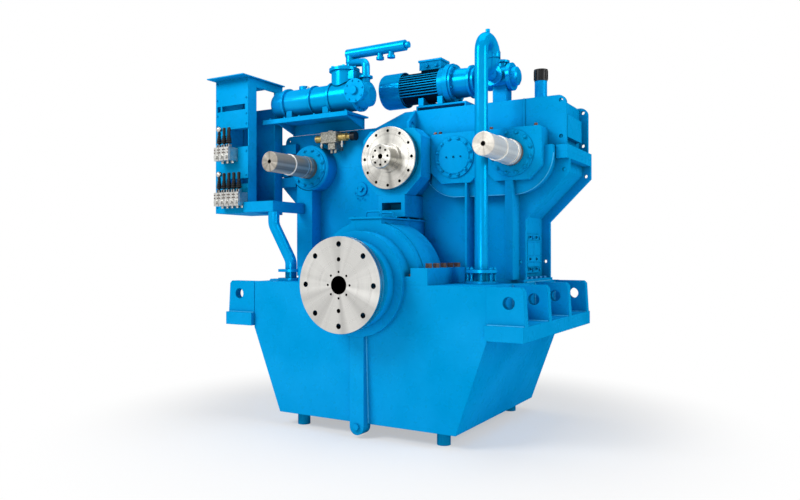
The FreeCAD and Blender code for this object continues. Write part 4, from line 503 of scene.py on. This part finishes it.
def rear_details():
    """Bolt circles of the rear covers, and the rear cap's bolts."""
    spots = []
    for number in range(-2, 3):
        spots += around(number * PITCH, NECK_REAR + 25, ROW, 162, 10, 0.3)
    bolts("rear_cover_bolts", spots, BACK, 11)
    bolts("output_rear_bolts", around(0, HULL_REAR + 22, 0, 215, 12, 0.2), BACK, 8)
    bolts("rear_cap_bolts", [(side * 335, y, 60) for side in (-1, 1) for y in (1735, 1805)], UP, 20)


def cover_details():
    """Small marks and fasteners of the covers on the front of the upper row."""
    spots = [(PITCH + across, idler_front, ROW) for across in (-62, 0, 62)]
    bolts("idler_cover_plugs", spots, FRONT, 7, dark_blue, washer=False)
    tops = [(300, 930, 1184), (345, 930, 1184), (787, 930, 1184), (1145, 930, 1184)]
    bolts("housing_top_bolts", tops, UP, 14, dark_bolt)
    round_face = front_of("round_cover")
    bolts("round_cover_bolts", around(-490, round_face + 6, 753, 52, 6), FRONT, 6)
    lines = [arc(2 * PITCH, 957, ROW, 312, -90, -2), [(PITCH, 957, 678), (2 * PITCH, 957, 678)],
             arc(PITCH, 957, ROW, 312, -160, -90)]
    # The ledge lines take the lighter blue of a painted highlight.
    seams("ledge_seams", lines, 4, 0.0, painted_highlight_blue)


def side_cover_details():
    """Straps, small bolts and the bar grip of the cover on the neck's side."""
    low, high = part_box("right_side_cover")
    x, y0, y1 = 1000 * high[0], 1000 * low[1], 1000 * high[1]
    z0, z1 = 1000 * low[2], 1000 * high[2]
    wide, tall = y1 - y0, z1 - z0
    lines = [[(x, y0 + 8, z0 + part * tall), (x, y1 - 8, z0 + part * tall)]
             for part in (0.28, 0.45, 0.8)]
    lines.append([(x, y0 + wide / 2, z0 + 0.45 * tall), (x, y0 + wide / 2, z0 + 0.8 * tall)])
    seams("side_cover_straps", lines, 4, 0.0)
    spots = [(x, y0 + part * wide, z0 + up * tall) for part in (0.25, 0.65) for up in (0.1, 0.36, 0.93)]
    bolts("side_cover_bolts", spots, RIGHT, 8, dark_blue)


def pipe_details():
    """Nuts on the studs of the suction pipe's flanges."""
    for name, height, way in (("upper", 106, UP), ("middle", 84, DOWN), ("lower", 22, UP)):
        spots = around_upright(SUCTION_X, SUCTION_Y, height, 98, 8)
        bolts(f"suction_nuts_{name}", spots, way, 13, washer=False)


def around_upright(x, y, z, radius, count):
    """Spots on a circle that faces along Z."""
    return [(x + radius * math.cos(2 * math.pi * (n + 0.5) / count),
             y + radius * math.sin(2 * math.pi * (n + 0.5) / count), z) for n in range(count)]


def motor_details():
    """Screws of the motor's terminal box and flange."""
    lid = [(x, y, 1912) for x in (-38, 168) for y in (1282, 1428)]
    bolts("terminal_box_screws", lid, UP, 6, bright_screw)
    flange = [(225, PUMP_Y + 155 * math.cos(turn), PUMP_Z + 155 * math.sin(turn))
              for turn in (0.785, 2.356, 3.927, 5.498)]
    bolts("motor_flange_bolts", flange, LEFT, 11)


def lever_details():
    """Rubber boots, tapered grips and two steel balls of the hand levers, each on its lever."""
    boot = [(9, 19), (20, 25), (26, 28), (26, 34), (18, 40), (23, 46), (23, 52), (16, 58), (20, 64),
            (20, 70), (13, 76), (17, 82), (17, 88), (12, 94)]
    ball, ball_height = 26, 150
    turns = [math.radians(15 * number) for number in range(1, 12)]
    for row, count, low in VALVE_ROWS:
        for number in range(count):
            mesh = bmesh.new()
            here = facing((VALVE_LEFT + (number + 0.5) * VALVE_PITCH, LEVER_Y, low + LEVER_PIVOT), UP)
            lathe(mesh, boot, here, 20)
            top = 124 if number == 0 else 158
            lathe(mesh, [(11, 94), (12, 98), (15, top - 12), (14, top - 3), (9, top)], here, 16)
            lever = f"{row}_lever_{number + 1}"
            piece(f"{lever}_boot", mesh, rubber, f"{lever}_body")
            if number == 0:
                mesh = bmesh.new()
                steps = [(ball * math.sin(turn), -ball * math.cos(turn)) for turn in turns]
                lathe(mesh, steps, here @ Matrix.Translation((0, 0, ball_height * MM)), 24)
                piece(f"{lever}_ball", mesh, ball_steel, f"{lever}_body")


def valve_details():
    """Square cap and two fittings of the pressure valve."""
    mesh = bmesh.new()
    fitting = [(13, 0), (13, 22), (18, 24), (18, 40), (13, 42), (11, 56)]
    lathe(mesh, [(30, 0), (34, 2), (34, 14), (31, 17)], facing((-748, 958, 1296), UP), 4, 0.785)
    for x in (-856, -636):
        lathe(mesh, fitting, facing((x, 958, 1216), DOWN), 6, 0.2)
    piece("pressure_valve_fittings", mesh, bright_screw, smooth=False)


def around_across(x, y, z, radius, count):
    """Spots on a circle that faces along X."""
    turns = [2 * math.pi * (n + 0.5) / count for n in range(count)]
    return [(x, y + radius * math.cos(turn), z + radius * math.sin(turn)) for turn in turns]


def filter_details():
    """Bolts of the change-over valve's covers and of the bell housing's flange."""
    bolts("changeover_front_bolts", around(-329, 683, FILTER_Z, 84, 8, 0.2), FRONT, 8, washer=False)
    ring = around_across(-375, FILTER_Y, FILTER_Z, 125, 12)
    bolts("changeover_ring_bolts", ring, RIGHT, 7, washer=False)
    bolts("bell_flange_bolts", around_across(292, PUMP_Y, PUMP_Z, 147, 8), RIGHT, 9)


def stand_details():
    """Screws of the stand's panels, of the filter's tray and of the valve blocks."""
    heights = (640, 800, 920, 1130, 1370, 1460, 1600, 1745)
    bolts("stand_screws", [(x, STAND_FRONT, z) for x in (-1705, -1362) for z in heights], FRONT, 7)
    bolts("tray_bolts", between_spots((-1270, 742, 1420), (-450, 742, 1420), 6), UP, 10)
    plugs = []
    for _, count, low in VALVE_ROWS:
        for number in range(count):
            middle = VALVE_LEFT + (number + 0.5) * VALVE_PITCH
            plugs += [(middle + off, VALVE_FRONT, low + up) for up in (96, 70) for off in (-18, 18)]
    bolts("valve_block_screws", plugs, FRONT, 5, dark_bolt, False)
    bolts("vessel_vent", [(-943, FILTER_Y, 1686)], UP, 16, bright_screw)


rear_details()
cover_details()
side_cover_details()
pipe_details()
motor_details()
lever_details()
valve_details()
filter_details()
stand_details()


def backdrop():
    """White floor that fades to plain white away from the object."""
    white = bpy.data.materials.new("floor_white")
    white.use_nodes = True
    tree = white.node_tree
    shader = tree.nodes["Principled BSDF"]
    shader.inputs["Base Color"].default_value = (0.95, 0.95, 0.95, 1)
    shader.inputs["Roughness"].default_value = 0.9
    shader.inputs["Specular IOR Level"].default_value = 0.0
    glow = tree.nodes.new("ShaderNodeEmission")
    glow.inputs["Strength"].default_value = 1.0
    seen = tree.nodes.new("ShaderNodeLightPath")
    place = tree.nodes.new("ShaderNodeTexCoord")
    far = tree.nodes.new("ShaderNodeVectorMath")
    far.operation = "LENGTH"
    fade = tree.nodes.new("ShaderNodeMapRange")
    fade.interpolation_type = "SMOOTHSTEP"
    fade.inputs["From Min"].default_value = 1.5
    fade.inputs["From Max"].default_value = 3.0
    fade.inputs["To Min"].default_value = 0.45
    both = tree.nodes.new("ShaderNodeMath")
    both.operation = "MULTIPLY"
    views = tree.nodes.new("ShaderNodeMath")
    views.operation = "MAXIMUM"
    mixed = tree.nodes.new("ShaderNodeMixShader")
    links = tree.links
    links.new(place.outputs["Object"], far.inputs[0])
    links.new(far.outputs["Value"], fade.inputs["Value"])
    links.new(seen.outputs["Is Camera Ray"], views.inputs[0])
    links.new(seen.outputs["Is Glossy Ray"], views.inputs[1])
    links.new(fade.outputs[0], both.inputs[0])
    links.new(views.outputs[0], both.inputs[1])
    links.new(both.outputs[0], mixed.inputs[0])
    links.new(shader.outputs[0], mixed.inputs[1])
    links.new(glow.outputs[0], mixed.inputs[2])
    links.new(mixed.outputs[0], tree.nodes["Material Output"].inputs["Surface"])
    bpy.ops.mesh.primitive_grid_add(size=40, location=(0, 1.0, -1.1495))
    floor = bpy.context.object
    floor.name = "floor"
    floor.data.materials.append(white)


def lamp(name, spot, target, size, power):
    data = bpy.data.lights.new(name, "AREA")
    data.shape = "RECTANGLE"
    data.size, data.size_y = size
    data.energy = power
    thing = bpy.data.objects.new(name, data)
    thing.location = spot
    thing.rotation_euler = (Vector(target) - Vector(spot)).to_track_quat("-Z", "Y").to_euler()
    bpy.context.scene.collection.objects.link(thing)


def light():
    world = bpy.data.worlds.new("studio")
    bpy.context.scene.world = world
    world.use_nodes = True
    tree = world.node_tree
    ground = tree.nodes["Background"]
    ground.inputs["Color"].default_value = (0.86, 0.86, 0.86, 1)
    ground.inputs["Strength"].default_value = 0.22
    white = tree.nodes.new("ShaderNodeBackground")
    white.inputs["Color"].default_value = (1, 1, 1, 1)
    seen = tree.nodes.new("ShaderNodeLightPath")
    mixed = tree.nodes.new("ShaderNodeMixShader")
    either = tree.nodes.new("ShaderNodeMath")
    either.operation = "MAXIMUM"
    tree.links.new(seen.outputs["Is Camera Ray"], either.inputs[0])
    tree.links.new(seen.outputs["Is Glossy Ray"], either.inputs[1])
    tree.links.new(either.outputs[0], mixed.inputs[0])
    tree.links.new(ground.outputs[0], mixed.inputs[1])
    tree.links.new(white.outputs[0], mixed.inputs[2])
    tree.links.new(mixed.outputs[0], tree.nodes["World Output"].inputs["Surface"])
    lamp("key", (-3.2, -4.6, 4.6), (0, 0.9, 0), (3.6, 3.0), 322)
    lamp("low", (2.2, -6.2, -0.1), (0, 0, -0.7), (3.2, 1.6), 68)
    lamp("top", (0.6, 1.2, 5.6), (0, 1.0, 0), (4.5, 4.5), 135)
    lamp("fill", (6.6, 0.8, 2.6), (0.6, 1.0, 0.4), (3.0, 3.4), 150)


def camera():
    data = bpy.data.cameras.new("camera")
    data.lens = 31.977
    data.sensor_width = 36
    data.clip_end = 100
    thing = bpy.data.objects.new("camera", data)
    thing.location = (2.93966, -4.17606, 0.22931)
    thing.rotation_euler = (math.radians(90.25), 0, math.radians(30.2))
    bpy.context.scene.collection.objects.link(thing)
    bpy.context.scene.camera = thing


backdrop()
light()
camera()
